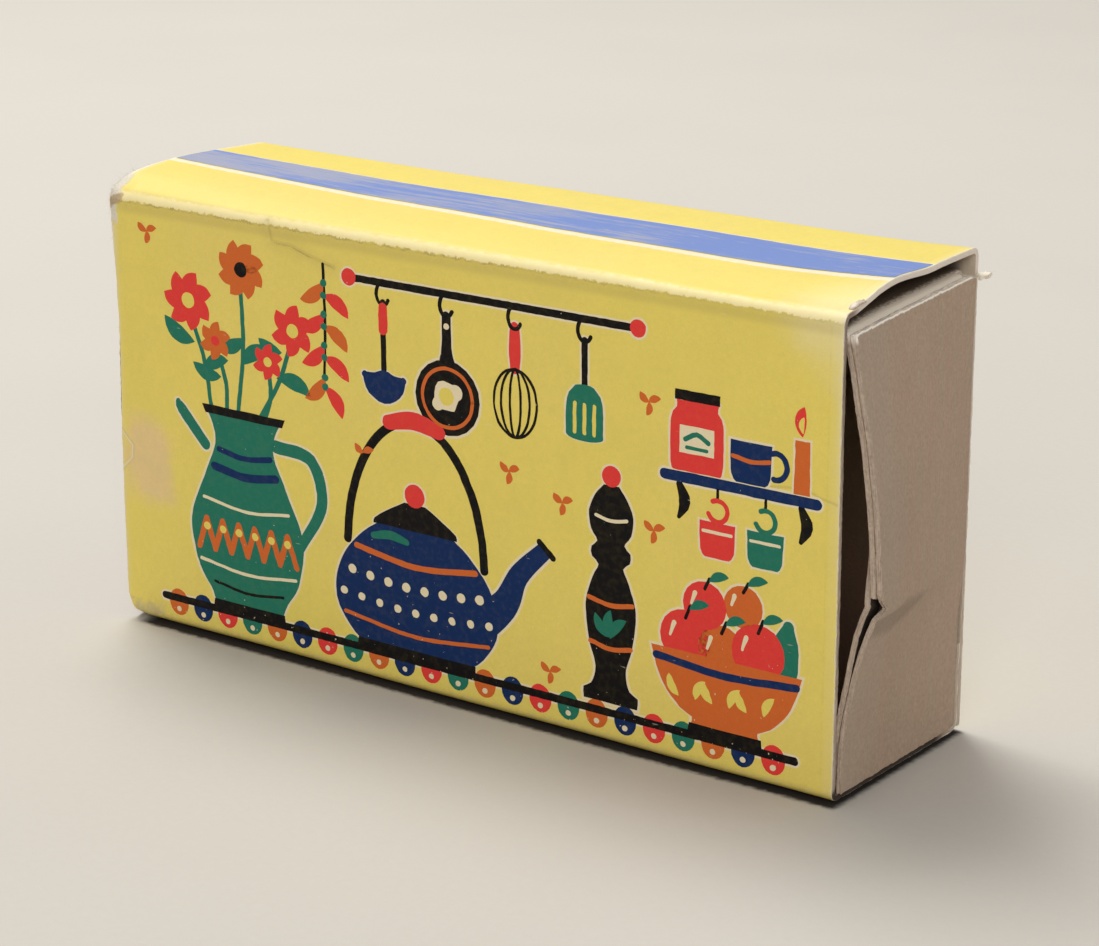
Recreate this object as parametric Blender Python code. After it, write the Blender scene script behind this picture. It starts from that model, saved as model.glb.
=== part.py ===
"""Slide-open kitchen matchbox, empty and worn, standing on its long narrow side.

A printed board sleeve is folded and glued into a square tube. A folded board tray slides in it
along X and is open towards the front. One end of the tray is buckled outwards. Lengths are in
metres: X runs along the box, Y from its front to its back, Z up from the surface it stands on.
"""

import math

import bmesh
import bpy
from mathutils import Vector

# Sleeve, measured on the outside
SLEEVE_LENGTH = 0.1238
SLEEVE_DEPTH = 0.0349
SLEEVE_HEIGHT = 0.0667
SLEEVE_BOARD = 0.0008
SLEEVE_FOLD_RADIUS = 0.0014
GLUE_FLAP_WIDTH = 0.0125
BACK_EDGE_LIFT = 0.0004
TOP_BOW = 0.0007

# Swelling of the top panel, highest at its left end and nearer the front than the back
TOP_SWELL = 0.0016
TOP_SWELL_FADE = 0.035
TOP_SWELL_PEAK = 0.18

# Twist of the top panel at its right end, which stands up behind a line across it
END_TWIST = 0.0009
END_TWIST_FADE = 0.012
END_TWIST_LINE = 0.35
END_TWIST_EASE = 0.12

# Hump of the top panel at its right end, from the front fold to a share of the way across
END_HUMP = 0.0010
END_HUMP_FADE = 0.015
END_HUMP_WIDTH = 0.66

# Splayed corner at the sleeve's top left, in front
SPLAY_OUT = 0.0005
SPLAY_REACH = 0.012

# Striking surfaces on the two long narrow sides
STRIKER_WIDTH = 0.0105
STRIKER_COAT = 0.0002
STRIKER_SETBACK = 0.0006
STRIKER_OFF_CENTRE = 0.0004

# Tray, which is as long as the sleeve and takes the rest of its size from the space inside it
TRAY_BOARD = 0.0008
TRAY_FOLD_RADIUS = 0.0010
TRAY_OUT_TO_RIGHT = 0.0008
TAB_OVERLAP = 0.0062
CORNER_NOTCH = 0.0026
FOLD_RELIEF = 0.0012
END_SHOULDER = 0.0022
END_EDGE_SETBACK = 0.0002

# Buckled right end and slightly rounded left end of the tray
BUCKLE_OUT = 0.0053
CREASE_BELOW_UPPER_TAB = 0.0015
CREASE_SAG = 0.0030
BUCKLE_LOWER_POWER = 2.2
LEFT_BULGE_OUT = 0.0018
BULGE_DEPTH_POWER = 1.2
LOOSE_TAB_START = 0.0150

# Clearances
RUNNING_CLEARANCE = 0.0003
SPACE_ABOVE_TRAY = 0.0016
TOUCH_GAP = 0.0002
GLUE_FILM = 0.0002
GLUE_MARGIN = 0.0020

# Set that the worn carton has taken
FORWARD_LEAN = 0.0017
BACK_RISE = 0.0020
LEFT_DROP = 0.0012

# How finely the sheets are divided
FOLD_SEGMENTS = 4
LENGTH_STEPS = 10
PANEL_STEPS = 6
TOP_STEPS = 12
WALL_STEPS = 5
TAB_STEPS = 8
CREASE_STEPS = 6

# Values worked out from the sizes above
LAP_SPACE = GLUE_FILM + 2 * TOUCH_GAP
STAND_OFF = STRIKER_COAT + TOUCH_GAP
LEFT_END = -SLEEVE_LENGTH / 2
RIGHT_END = SLEEVE_LENGTH / 2
FRONT = -SLEEVE_DEPTH / 2
BACK = SLEEVE_DEPTH / 2
BOTTOM = STAND_OFF
TOP = STAND_OFF + SLEEVE_HEIGHT
FLAP_FACE = BACK - SLEEVE_BOARD - LAP_SPACE
TRAY_LENGTH = SLEEVE_LENGTH
TRAY_HEIGHT = SLEEVE_HEIGHT - 2 * SLEEVE_BOARD - RUNNING_CLEARANCE - SPACE_ABOVE_TRAY
TAB_LENGTH = (TRAY_HEIGHT + TAB_OVERLAP) / 2
BUCKLE_CREASE_HEIGHT = TRAY_HEIGHT - TAB_LENGTH - CREASE_BELOW_UPPER_TAB
TRAY_LEFT = -TRAY_LENGTH / 2 + TRAY_OUT_TO_RIGHT
TRAY_RIGHT = TRAY_LENGTH / 2 + TRAY_OUT_TO_RIGHT
TRAY_FRONT = FRONT + SLEEVE_BOARD + RUNNING_CLEARANCE
TRAY_BACK = FLAP_FACE - SLEEVE_BOARD - RUNNING_CLEARANCE
TRAY_BOTTOM = BOTTOM + SLEEVE_BOARD + RUNNING_CLEARANCE
TRAY_TOP = TRAY_BOTTOM + TRAY_HEIGHT
TRAY_DEPTH = TRAY_BACK - TRAY_FRONT
TAB_SETBACK = TRAY_BOARD + LAP_SPACE
TAB_TUCK = TRAY_BOARD + TOUCH_GAP
CREASE_LEVEL = TRAY_BOTTOM + BUCKLE_CREASE_HEIGHT
NEAR = 0.00001


def clear_scene():
    """Start from an empty scene."""
    for item in list(bpy.data.objects):
        bpy.data.objects.remove(item, do_unlink=True)


def make_material(name, colour, roughness):
    """A Principled material of one colour."""
    material = bpy.data.materials.new(name)
    material.use_nodes = True
    shader = material.node_tree.nodes["Principled BSDF"]
    shader.inputs["Base Color"].default_value = (*colour, 1.0)
    shader.inputs["Roughness"].default_value = roughness
    shader.inputs["Metallic"].default_value = 0.0
    return material


def ramp(value, start, end):
    """Smooth rise from 0 at start to 1 at end."""
    share = min(max((value - start) / (end - start), 0.0), 1.0)
    return share * share * (3 - 2 * share)


def evenly(start, end, steps):
    """Values from start to end in equal steps, both ends included."""
    return [start + (end - start) * step / steps for step in range(steps + 1)]


def worn_set(point):
    """Where a point of the straight box lies on the worn one, which leans and stands taller behind."""
    behind = point.y / SLEEVE_DEPTH + 1 / 2
    leftwards = 1 / 2 - point.x / SLEEVE_LENGTH
    taller = 1 + BACK_RISE / SLEEVE_HEIGHT * behind
    lower = 1 - LEFT_DROP / SLEEVE_HEIGHT * leftwards
    forward = FORWARD_LEAN * point.z / SLEEVE_HEIGHT
    return Vector((point.x, point.y - forward, point.z * taller * lower))


def extend(bm, edges, reach, steps=1):
    """Grow a panel from its boundary edges along the vector reach."""
    grown = []
    for _ in range(steps):
        made = bmesh.ops.extrude_edge_only(bm, edges=edges)["geom"]
        fresh = [item for item in made if isinstance(item, bmesh.types.BMVert)]
        bmesh.ops.translate(bm, verts=fresh, vec=Vector(reach) / steps)
        grown.extend(fresh)
        edges = [
            item
            for item in made
            if isinstance(item, bmesh.types.BMEdge) and all(vert in fresh for vert in item.verts)
        ]
    return edges, grown


def edges_where(bm, test):
    """Edges whose two ends both pass the test."""
    return [edge for edge in bm.edges if all(test(vert.co) for vert in edge.verts)]


def chain(bm, points):
    """A row of edges through the points."""
    verts = [bm.verts.new(point) for point in points]
    return [bm.edges.new(pair) for pair in zip(verts, verts[1:])]


def round_folds(bm, edges, radius):
    """Turn sharp folds into rounded ones."""
    bmesh.ops.bevel(
        bm,
        geom=edges,
        offset=radius,
        offset_type="OFFSET",
        segments=FOLD_SEGMENTS,
        profile=1 / 2,
        affect="EDGES",
    )


def face_away_from(bm, centre):
    """Turn the sheet so that its faces look away from the centre."""
    bmesh.ops.recalc_face_normals(bm, faces=bm.faces)
    facing = sum(face.normal.dot(face.calc_center_median() - centre) * face.calc_area() for face in bm.faces)
    if facing < 0:
        bmesh.ops.reverse_faces(bm, faces=bm.faces)


def finish_sheet(bm, name, thickness, material, parent, centre):
    """Give a sheet its worn set and its thickness, and place it as one object."""
    for vert in bm.verts:
        vert.co = worn_set(vert.co)
    face_away_from(bm, centre)
    mesh = bpy.data.meshes.new(name)
    bm.to_mesh(mesh)
    bm.free()
    mesh.materials.append(material)
    sheet = bpy.data.objects.new(name, mesh)
    bpy.context.scene.collection.objects.link(sheet)
    sheet.parent = parent
    sheet.matrix_parent_inverse = parent.matrix_world.inverted()
    board = sheet.modifiers.new("board", "SOLIDIFY")
    board.thickness = thickness
    board.offset = -1.0
    board.use_even_offset = True
    return sheet


def make_empty(name, location, parent=None):
    """An empty that carries the pieces of one body."""
    empty = bpy.data.objects.new(name, None)
    empty.location = location
    bpy.context.scene.collection.objects.link(empty)
    empty.parent = parent
    bpy.context.view_layer.update()
    return empty


def top_level(depth):
    """Height of the sleeve's bowed top panel at a place between its front and back folds."""
    share = depth / (SLEEVE_DEPTH / 2)
    return TOP + TOP_BOW * (1 - share * share)


def top_rise(point):
    """How far the top panel has swollen, twisted and humped upwards at a place on it."""
    across = min(max(point.y / SLEEVE_DEPTH + 1 / 2, 0.0), 1.0)
    if across < TOP_SWELL_PEAK:
        share = math.sin(math.pi / 2 * across / TOP_SWELL_PEAK)
    else:
        share = math.cos(math.pi / 2 * (across - TOP_SWELL_PEAK) / (1 - TOP_SWELL_PEAK)) ** 2
    swell = TOP_SWELL * share * math.exp((LEFT_END - point.x) / TOP_SWELL_FADE)
    eased = ramp(across, 0.0, END_TWIST_EASE)
    twist = END_TWIST * (across - END_TWIST_LINE) * eased * math.exp((point.x - RIGHT_END) / END_TWIST_FADE)
    rounded = math.sin(math.pi * min(across / END_HUMP_WIDTH, 1.0)) ** 2
    hump = END_HUMP * rounded * math.exp((point.x - RIGHT_END) / END_HUMP_FADE)
    return swell + twist + hump


def raise_top(verts):
    """Give the upper half of the sleeve, and what lies on it, the swelling and twist of its top."""
    for vert in verts:
        vert.co.z += top_rise(vert.co) * ramp(vert.co.z, BOTTOM + SLEEVE_HEIGHT / 2, TOP - SLEEVE_FOLD_RADIUS)


def sleeve_profile():
    """Outer face of the folded sleeve, from the glue flap's edge round to the back panel's lower edge."""
    flap = [(FLAP_FACE, BOTTOM + GLUE_FLAP_WIDTH)]
    underside = [(depth, BOTTOM) for depth in evenly(FLAP_FACE, FRONT, PANEL_STEPS)]
    front = [(FRONT, level) for level in evenly(BOTTOM, TOP, PANEL_STEPS)[1:]]
    over = [(depth, top_level(depth)) for depth in evenly(FRONT, BACK, TOP_STEPS)[1:]]
    back = [(BACK, level) for level in evenly(TOP, BOTTOM + BACK_EDGE_LIFT, PANEL_STEPS)[1:]]
    return flap + underside + front + over + back


def sleeve_stations():
    """Places along the sleeve, closer together at the splayed corner and at the twisted end."""
    near_left = [LEFT_END + SPLAY_REACH * share for share in (0, 1 / 4, 1 / 2, 3 / 4)]
    near_right = [RIGHT_END - END_TWIST_FADE * share for share in (1 / 2, 0)]
    return near_left + evenly(LEFT_END + SPLAY_REACH, RIGHT_END - END_TWIST_FADE, LENGTH_STEPS) + near_right


def splay_corner(bm):
    """Push the top left front corner outwards along the box."""
    corner = Vector((LEFT_END, FRONT, TOP))
    for vert in bm.verts:
        closeness = max(0.0, 1 - (vert.co - corner).length / SPLAY_REACH)
        vert.co.x -= SPLAY_OUT * closeness


def is_sleeve_fold(point):
    """Whether a point of the sheet lies on one of the sleeve's four folds."""
    at_flap = abs(point.y - FLAP_FACE) < NEAR and abs(point.z - BOTTOM) < NEAR
    at_front = abs(point.y - FRONT) < NEAR and (abs(point.z - BOTTOM) < NEAR or abs(point.z - TOP) < NEAR)
    at_back = abs(point.y - BACK) < NEAR and abs(point.z - TOP) < NEAR
    return at_flap or at_front or at_back


def make_sleeve(material, parent):
    """The outer sleeve: one board folded round four corners, its glue flap inside the back panel."""
    bm = bmesh.new()
    stations = sleeve_stations()
    edges = chain(bm, [(stations[0], depth, level) for depth, level in sleeve_profile()])
    for here, there in zip(stations, stations[1:]):
        edges, _ = extend(bm, edges, (there - here, 0, 0))
    round_folds(bm, edges_where(bm, is_sleeve_fold), SLEEVE_FOLD_RADIUS)
    raise_top(bm.verts)
    splay_corner(bm)
    centre = Vector((0, 0, STAND_OFF + SLEEVE_HEIGHT / 2))
    return finish_sheet(bm, "sleeve", SLEEVE_BOARD, material, parent, centre)


def make_seam_glue(material, parent):
    """The glue between the flap and the back panel."""
    bm = bmesh.new()
    face = BACK - SLEEVE_BOARD - TOUCH_GAP
    low = BOTTOM + GLUE_MARGIN
    high = BOTTOM + GLUE_FLAP_WIDTH - GLUE_MARGIN / 2
    edges = chain(bm, [(LEFT_END + GLUE_MARGIN, face, level) for level in (low, high)])
    extend(bm, edges, (SLEEVE_LENGTH - 2 * GLUE_MARGIN, 0, 0), LENGTH_STEPS)
    centre = Vector((0, 0, (low + high) / 2))
    return finish_sheet(bm, "sleeve_seam_glue", GLUE_FILM, material, parent, centre)


def striker_stations():
    """Places along a striking surface, the same as the sleeve's between its two ends."""
    start = LEFT_END + STRIKER_SETBACK
    end = RIGHT_END - STRIKER_SETBACK
    return [start] + [place for place in sleeve_stations() if start < place < end] + [end]


def striker_depths():
    """Places across a striking surface, from its front edge to its back edge."""
    middle = STRIKER_OFF_CENTRE
    return evenly(middle - STRIKER_WIDTH / 2, middle + STRIKER_WIDTH / 2, WALL_STEPS)


def make_striker(name, points, material, parent):
    """A striking surface: a thin coat laid along one narrow side."""
    bm = bmesh.new()
    edges = chain(bm, points)
    stations = striker_stations()
    for here, there in zip(stations, stations[1:]):
        edges, _ = extend(bm, edges, (there - here, 0, 0))
    raise_top(bm.verts)
    centre = Vector((0, 0, STAND_OFF + SLEEVE_HEIGHT / 2))
    return finish_sheet(bm, name, STRIKER_COAT, material, parent, centre)


def make_strikers(material, parent):
    """The striking surfaces above and below."""
    start = LEFT_END + STRIKER_SETBACK
    rise = TOUCH_GAP + STRIKER_COAT
    above = [(start, depth, top_level(depth) + rise) for depth in striker_depths()]
    below = [(start, depth, 0.0) for depth in striker_depths()]
    make_striker("striker_top", above, material, parent)
    make_striker("striker_bottom", below, material, parent)


def buckle(depth, level, side):
    """How far an end of the tray bulges outwards at a place on it."""
    reach = min(max((TRAY_BACK - depth) / TRAY_DEPTH, 0.0), 1.0) ** BULGE_DEPTH_POWER
    up = min(max((level - TRAY_BOTTOM) / TRAY_HEIGHT, 0.0), 1.0)
    crease = BUCKLE_CREASE_HEIGHT / TRAY_HEIGHT
    if side < 0:
        return LEFT_BULGE_OUT * reach * math.sin(math.pi * up)
    if up > crease:
        return BUCKLE_OUT * reach * math.sin(math.pi / 2 * (1 - up) / (1 - crease))
    return BUCKLE_OUT * reach * (up / crease) ** BUCKLE_LOWER_POWER


def crease_sag(depth, level, side):
    """How far the board of the buckled end hangs down between its fold and its free edge, most at the crease."""
    if side < 0:
        return 0.0
    forward = min(max((TRAY_BACK - depth) / TRAY_DEPTH, 0.0), 1.0)
    up = min(max((level - TRAY_BOTTOM) / TRAY_HEIGHT, 0.0), 1.0)
    crease = BUCKLE_CREASE_HEIGHT / TRAY_HEIGHT
    near_crease = (1 - up) / (1 - crease) if up > crease else up / crease
    return CREASE_SAG * math.sin(math.pi * forward) * near_crease


def bulge_end(verts, side, tuck):
    """Move points of an end outwards by the bulge, less what a tab is tucked in, and down by the sag."""
    for vert in verts:
        depth, level = vert.co.y, vert.co.z
        vert.co.x += side * (buckle(depth, level, side) - tuck(level))
        vert.co.z -= crease_sag(depth, level, side)


def tray_levels():
    """Heights across the tray's floor, with one on the crease of the buckled end."""
    low = TRAY_BOTTOM + FOLD_RELIEF
    high = TRAY_TOP - FOLD_RELIEF
    below = evenly(low, CREASE_LEVEL, CREASE_STEPS)
    above = evenly(CREASE_LEVEL, high, CREASE_STEPS)[1:]
    return [TRAY_BOTTOM] + below + above + [TRAY_TOP]


def add_tray_wall(bm, level):
    """One long wall, folded forward from the floor's edge at the given level."""
    edges = edges_where(bm, lambda point: abs(point.z - level) < NEAR and abs(point.y - TRAY_BACK) < NEAR)
    edges, _ = extend(bm, edges, (0, -CORNER_NOTCH, 0))
    extend(bm, edges, (0, CORNER_NOTCH - TRAY_DEPTH, 0), WALL_STEPS)


def lower_tab_tuck(level):
    """How far a lower tab has come away from the end, to pass behind the upper tab."""
    overlap_start = TRAY_HEIGHT - TAB_LENGTH - TOUCH_GAP
    return TAB_TUCK * ramp(level - TRAY_BOTTOM, LOOSE_TAB_START, overlap_start)


def no_tuck(level):
    """What stays against the end isn't tucked in at any level."""
    return 0.0


def add_tab(bm, level, wall_end, side):
    """A corner tab, folded from the end of a long wall to lie inside the tray's end."""

    def is_wall_end(point):
        on_wall = abs(point.z - level) < NEAR and abs(point.x - wall_end) < NEAR
        return on_wall and point.y < TRAY_BACK - CORNER_NOTCH + NEAR

    lower = level < CREASE_LEVEL
    inwards = 1 if lower else -1
    edges, _ = extend(bm, edges_where(bm, is_wall_end), (side * FOLD_RELIEF, 0, 0))
    _, tab = extend(bm, edges, (0, 0, inwards * TAB_LENGTH), TAB_STEPS)
    bulge_end(tab, side, lower_tab_tuck if lower else no_tuck)


def add_tray_end(bm, wall_end, side):
    """An end wall, folded forward from the end of the floor, with cut-back shoulders at its fold."""

    def is_floor_end(point):
        between = TRAY_BOTTOM + FOLD_RELIEF - NEAR < point.z < TRAY_TOP - FOLD_RELIEF + NEAR
        return between and abs(point.x - wall_end) < NEAR and abs(point.y - TRAY_BACK) < NEAR

    edges, _ = extend(bm, edges_where(bm, is_floor_end), (side * (FOLD_RELIEF + TAB_SETBACK), 0, 0))
    edges, shoulder = extend(bm, edges, (0, -END_SHOULDER, 0))
    middle = TRAY_BOTTOM + TRAY_HEIGHT / 2
    wider = (TRAY_HEIGHT - 2 * END_EDGE_SETBACK) / (TRAY_HEIGHT - 2 * FOLD_RELIEF)
    for vert in shoulder:
        vert.co.z = middle + (vert.co.z - middle) * wider
    _, wall = extend(bm, edges, (0, END_SHOULDER - TRAY_DEPTH, 0), WALL_STEPS)
    bulge_end(shoulder + wall, side, no_tuck)


def is_tray_fold(point):
    """Whether a point lies on a line where the tray's board is folded."""
    on_floor = abs(point.y - TRAY_BACK) < NEAR
    at_wall = abs(point.z - TRAY_BOTTOM) < NEAR or abs(point.z - TRAY_TOP) < NEAR
    at_end = abs(point.x - TRAY_LEFT) < NEAR or abs(point.x - TRAY_RIGHT) < NEAR
    left_tab = abs(point.x - TRAY_LEFT - TAB_SETBACK) < NEAR
    right_tab = abs(point.x - TRAY_RIGHT + TAB_SETBACK) < NEAR
    return (on_floor and (at_wall or at_end)) or (at_wall and (left_tab or right_tab))


def make_tray(material, parent):
    """The tray: one board with a floor, four walls and four corner tabs."""
    bm = bmesh.new()
    left_wall_end = TRAY_LEFT + TAB_SETBACK + FOLD_RELIEF
    right_wall_end = TRAY_RIGHT - TAB_SETBACK - FOLD_RELIEF
    edges = chain(bm, [(left_wall_end, TRAY_BACK, level) for level in tray_levels()])
    extend(bm, edges, (right_wall_end - left_wall_end, 0, 0), LENGTH_STEPS)
    for level in (TRAY_BOTTOM, TRAY_TOP):
        add_tray_wall(bm, level)
    for wall_end, side in ((left_wall_end, -1), (right_wall_end, 1)):
        add_tab(bm, TRAY_TOP, wall_end, side)
        add_tab(bm, TRAY_BOTTOM, wall_end, side)
        add_tray_end(bm, wall_end, side)
    round_folds(bm, edges_where(bm, is_tray_fold), TRAY_FOLD_RADIUS)
    centre = Vector((0, 0, TRAY_BOTTOM + TRAY_HEIGHT / 2))
    return finish_sheet(bm, "tray", TRAY_BOARD, material, parent, centre)


def make_tab_glue(name, side, low, high, material, parent):
    """The glue that holds one corner tab to the inside of the tray's end."""
    bm = bmesh.new()
    face = (TRAY_RIGHT if side > 0 else TRAY_LEFT) - side * (TRAY_BOARD + TOUCH_GAP)
    near_floor = TRAY_BACK - CORNER_NOTCH - GLUE_MARGIN
    edges = chain(bm, [(face, near_floor, level) for level in evenly(low, high, TAB_STEPS)])
    extend(bm, edges, (0, TRAY_FRONT + GLUE_MARGIN - near_floor, 0), WALL_STEPS)
    bulge_end(bm.verts, side, no_tuck)
    centre = Vector((0, 0, (low + high) / 2))
    return finish_sheet(bm, name, GLUE_FILM, material, parent, centre)


def make_tab_glues(material, parent):
    """The glue on the four corner tabs, upper and lower, at the left and right ends."""
    upper = (TRAY_TOP - TAB_LENGTH + GLUE_MARGIN, TRAY_TOP - GLUE_MARGIN)
    lower = (TRAY_BOTTOM + GLUE_MARGIN, TRAY_BOTTOM + LOOSE_TAB_START - GLUE_MARGIN / 2)
    for side, place in ((-1, "left"), (1, "right")):
        make_tab_glue(f"tab_glue_upper_{place}", side, *upper, material, parent)
        make_tab_glue(f"tab_glue_lower_{place}", side, *lower, material, parent)


def main():
    """Build the matchbox."""
    clear_scene()
    printed_board = make_material("printed_board", (0.83, 0.66, 0.13), 0.55)
    grey_board = make_material("grey_board", (0.36, 0.29, 0.23), 0.85)
    striker_coat = make_material("striker_coat", (0.10, 0.16, 0.48), 0.75)
    dried_glue = make_material("dried_glue", (0.62, 0.55, 0.40), 0.45)
    carton = make_empty("carton", (0, 0, 0))
    tray_slide = make_empty("tray_slide", (0, 0, TRAY_BOTTOM + TRAY_HEIGHT / 2), carton)
    make_sleeve(printed_board, carton)
    make_seam_glue(dried_glue, carton)
    make_strikers(striker_coat, carton)
    make_tray(grey_board, tray_slide)
    make_tab_glues(dried_glue, tray_slide)


if __name__ == "__main__":
    main()
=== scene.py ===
"""Worn kitchen matchbox: a printed sleeve and a buckled grey board tray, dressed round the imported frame."""

import math
from functools import reduce
from types import SimpleNamespace as Measures

import bpy
import numpy as np
from mathutils import Matrix, Vector


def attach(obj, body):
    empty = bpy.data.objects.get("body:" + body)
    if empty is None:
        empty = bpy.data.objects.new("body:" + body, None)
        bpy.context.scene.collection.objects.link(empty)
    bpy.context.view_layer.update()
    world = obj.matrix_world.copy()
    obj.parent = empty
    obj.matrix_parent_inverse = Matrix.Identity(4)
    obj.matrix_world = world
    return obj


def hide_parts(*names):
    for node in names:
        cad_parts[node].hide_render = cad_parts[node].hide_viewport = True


bl_info = {
    "name": "Worn Kitchen Matchbox",
    "version": (1, 0, 0),
    "blender": (4, 5, 0),
    "location": "View3D > Sidebar > Matchbox",
    "description": "Builds the worn printed sleeve, the folded board tray and the studio of a matchbox",
    "category": "Object",
}

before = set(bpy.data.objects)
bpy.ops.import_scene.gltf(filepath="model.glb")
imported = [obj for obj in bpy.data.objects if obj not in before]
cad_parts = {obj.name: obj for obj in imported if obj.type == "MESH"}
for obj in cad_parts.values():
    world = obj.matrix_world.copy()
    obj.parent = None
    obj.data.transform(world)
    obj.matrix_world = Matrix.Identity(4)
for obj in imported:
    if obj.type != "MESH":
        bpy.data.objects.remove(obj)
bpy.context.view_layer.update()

MM = 0.001
SLEEVE = "outer_sleeve"
TRAY = "sliding_tray"
TINY = 1e-9


# Sizes and colours

def number(name, default, description, **kind):
    """A number that a user can change."""
    return bpy.props.FloatProperty(name=name, default=default, description=description, **kind)


def length(name, default, description):
    """A length in metres that a user can change."""
    return number(name, default, description, unit="LENGTH", precision=5)


def colour(name, default, description="Ink of the picture"):
    """A linear colour that a user can change."""
    return bpy.props.FloatVectorProperty(
        name=name, default=default, description=description, subtype="COLOR", size=3, min=0.0, max=1.0
    )


class MatchboxSizes(bpy.types.PropertyGroup):
    """Sizes of the sleeve and tray, the same as the frame's."""

    long: length("Length", 0.1238, "Length of the sleeve and of the tray")
    deep: length("Depth", 0.0349, "Depth of the sleeve outside")
    tall: length("Height", 0.0667, "Height of the sleeve outside")
    board: length("Board", 0.0008, "Thickness of the board")
    sleeve_fold: length("Sleeve fold", 0.0014, "Outer radius of the sleeve's folds")
    flap: length("Glue flap", 0.0125, "Width of the flap inside the back panel")
    stand_off: length("Stand-off", 0.0004, "Height of the sleeve above the surface it stands on")
    bow: length("Bow", 0.0007, "Rise of the top panel along its middle")
    swell: length("Swell", 0.0016, "Extra rise of the top panel at its left end")
    twist: length("Twist", 0.0009, "Rise of the top panel's back at its right end")
    hump: length("Hump", 0.0010, "Rise of the top panel's front half at its right end")
    splay: length("Splay", 0.0005, "How far the top left front corner is splayed outwards")
    lean: length("Lean", 0.0017, "Forward lean of the top over the base")
    back_rise: length("Back rise", 0.0020, "Extra height of the back panel")
    left_drop: length("Left drop", 0.0012, "Lost height of the left end")
    tray_fold: length("Tray fold", 0.0010, "Outer radius of the tray's folds")
    tray_gap: length("Space above tray", 0.0016, "Free height between the tray and the sleeve")
    run: length("Running clearance", 0.0003, "Clearance between the tray and the sleeve")
    lap: length("Glued lap", 0.0006, "Space that the frame keeps in a glued lap")
    film: length("Glue film", 0.00012, "Space that a glued lap has on the worn box")
    slack: length("Back slack", 0.00125, "How far the tray's back leans back above the glue flap")
    out_right: length("Tray offset", 0.0008, "How far the tray stands out at its right end")
    tab_lap: length("Tab overlap", 0.0062, "Overlap of the two corner tabs")
    notch: length("Corner notch", 0.0026, "Depth of the cut beside a corner tab")
    relief: length("Fold relief", 0.0012, "Width left free beside a fold")
    shoulder: length("Shoulder", 0.0022, "Depth of the cut-back shoulder of an end wall")
    buckle: length("Buckle", 0.0053, "How far the right end is buckled outwards")
    crease_drop: length("Crease drop", 0.0015, "Height of the upper tab's end above the crease")
    sag: length("Crease sag", 0.0030, "How far the creased end hangs down between its fold and its free edge")
    bulge: length("Bulge", 0.0018, "How far the left end is rounded outwards")
    loose: length("Loose tab start", 0.0150, "Height at which the lower tab comes away")
    strip_wide: length("Striking strip", 0.0105, "Width of a striking strip")
    strip_off: length("Strip offset", 0.0004, "Distance of the strip's middle from the panel's middle")


class MatchboxColours(bpy.types.PropertyGroup):
    """Colours of the board, print and inks."""

    yellow: colour("Yellow print", (0.855, 0.692, 0.140), "Printed yellow of the sleeve")
    faded: colour("Faded print", (0.84, 0.620, 0.235), "Yellow where light and hands have faded it")
    paper: colour("Paper", (0.86, 0.80, 0.67), "White liner paper under the print")
    core: colour("Board core", (0.47, 0.375, 0.285), "Grey-brown core of the board")
    grey: colour("Grey board", (0.450, 0.340, 0.250), "Unprinted board of the tray")
    warm: colour("Warm board", (0.468, 0.323, 0.248), "Pinkish streaks in the tray's board")
    # the soil colour also paints shade below the upper fold, along the creases and towards the lower fold
    soil: colour("Soil", (0.24, 0.17, 0.10), "Dirt rubbed into worn folds")
    striker: colour("Striking coat", (0.168, 0.248, 0.545), "Blue of the striking strips")
    rubbed: colour("Rubbed coat", (0.330, 0.347, 0.462), "Striking coat where it is rubbed thin")
    glue: colour("Dried glue", (0.50, 0.42, 0.28), "Dried glue in the laps")
    black: colour("Black ink", (0.005, 0.004, 0.005))
    navy: colour("Navy ink", (0.004, 0.026, 0.115))
    green: colour("Green ink", (0.018, 0.190, 0.125))
    red: colour("Red ink", (0.830, 0.052, 0.045))
    orange: colour("Orange ink", (0.700, 0.150, 0.030))
    cream: colour("Unprinted edge", (0.88, 0.76, 0.50), "Pale line left round the printed shapes")


class MatchboxStudio(bpy.types.PropertyGroup):
    """Camera, floor and light."""

    eye: bpy.props.FloatVectorProperty(
        name="Camera place", default=(0.2674, -0.3753, 0.1718), subtype="TRANSLATION", unit="LENGTH",
        description="Where the camera stands"
    )
    azimuth: number("Azimuth", math.radians(35.12), "Direction of the view round the box", subtype="ANGLE")
    elevation: number("Elevation", math.radians(17.09), "Angle of the view above the floor", subtype="ANGLE")
    roll: number("Roll", math.radians(0.86), "Tilt of the camera about its line of sight", subtype="ANGLE")
    lens: number("Lens", 110.14, "Focal length in millimetres")
    floor: colour("Floor", (0.60, 0.565, 0.51), "Pale floor")
    sky: number("Ambient light", 0.45, "Strength of the even light")
    overhead: number("Overhead light", 13.5, "Power of the top light in watts")
    side: number("Side light", 6.8, "Power of the front light in watts")


# Shapes as arrays

WELD_GRID, ARC_POINTS = 0.002 * MM, 7
FRAY_SHORT, FRAY_LONG = 0.5 * MM, 5 * MM
"""Size of the cells whose points are one, points of a quarter circle, and waves of a frayed edge."""

MIDDLE_PLY, INNER_FRAY = 0.5, 0.6
"""How far a cut edge's middle plies stand out and how ragged its inner border is, as shares of fraying."""

CRISP = 42.0
"""Angle in degrees from which an edge is shaded crisp."""


def ease(value, start, end):
    """Smooth step: 3t^2 - 2t^3 of the share t of the way from start to end."""
    share = np.clip((value - start) / (end - start), 0.0, 1.0)
    return share * share * (3 - 2 * share)


def bell(distance, reach):
    """Bell curve: e to the minus square of the distance over the reach."""
    return np.exp(-((distance / reach) ** 2))


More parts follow.
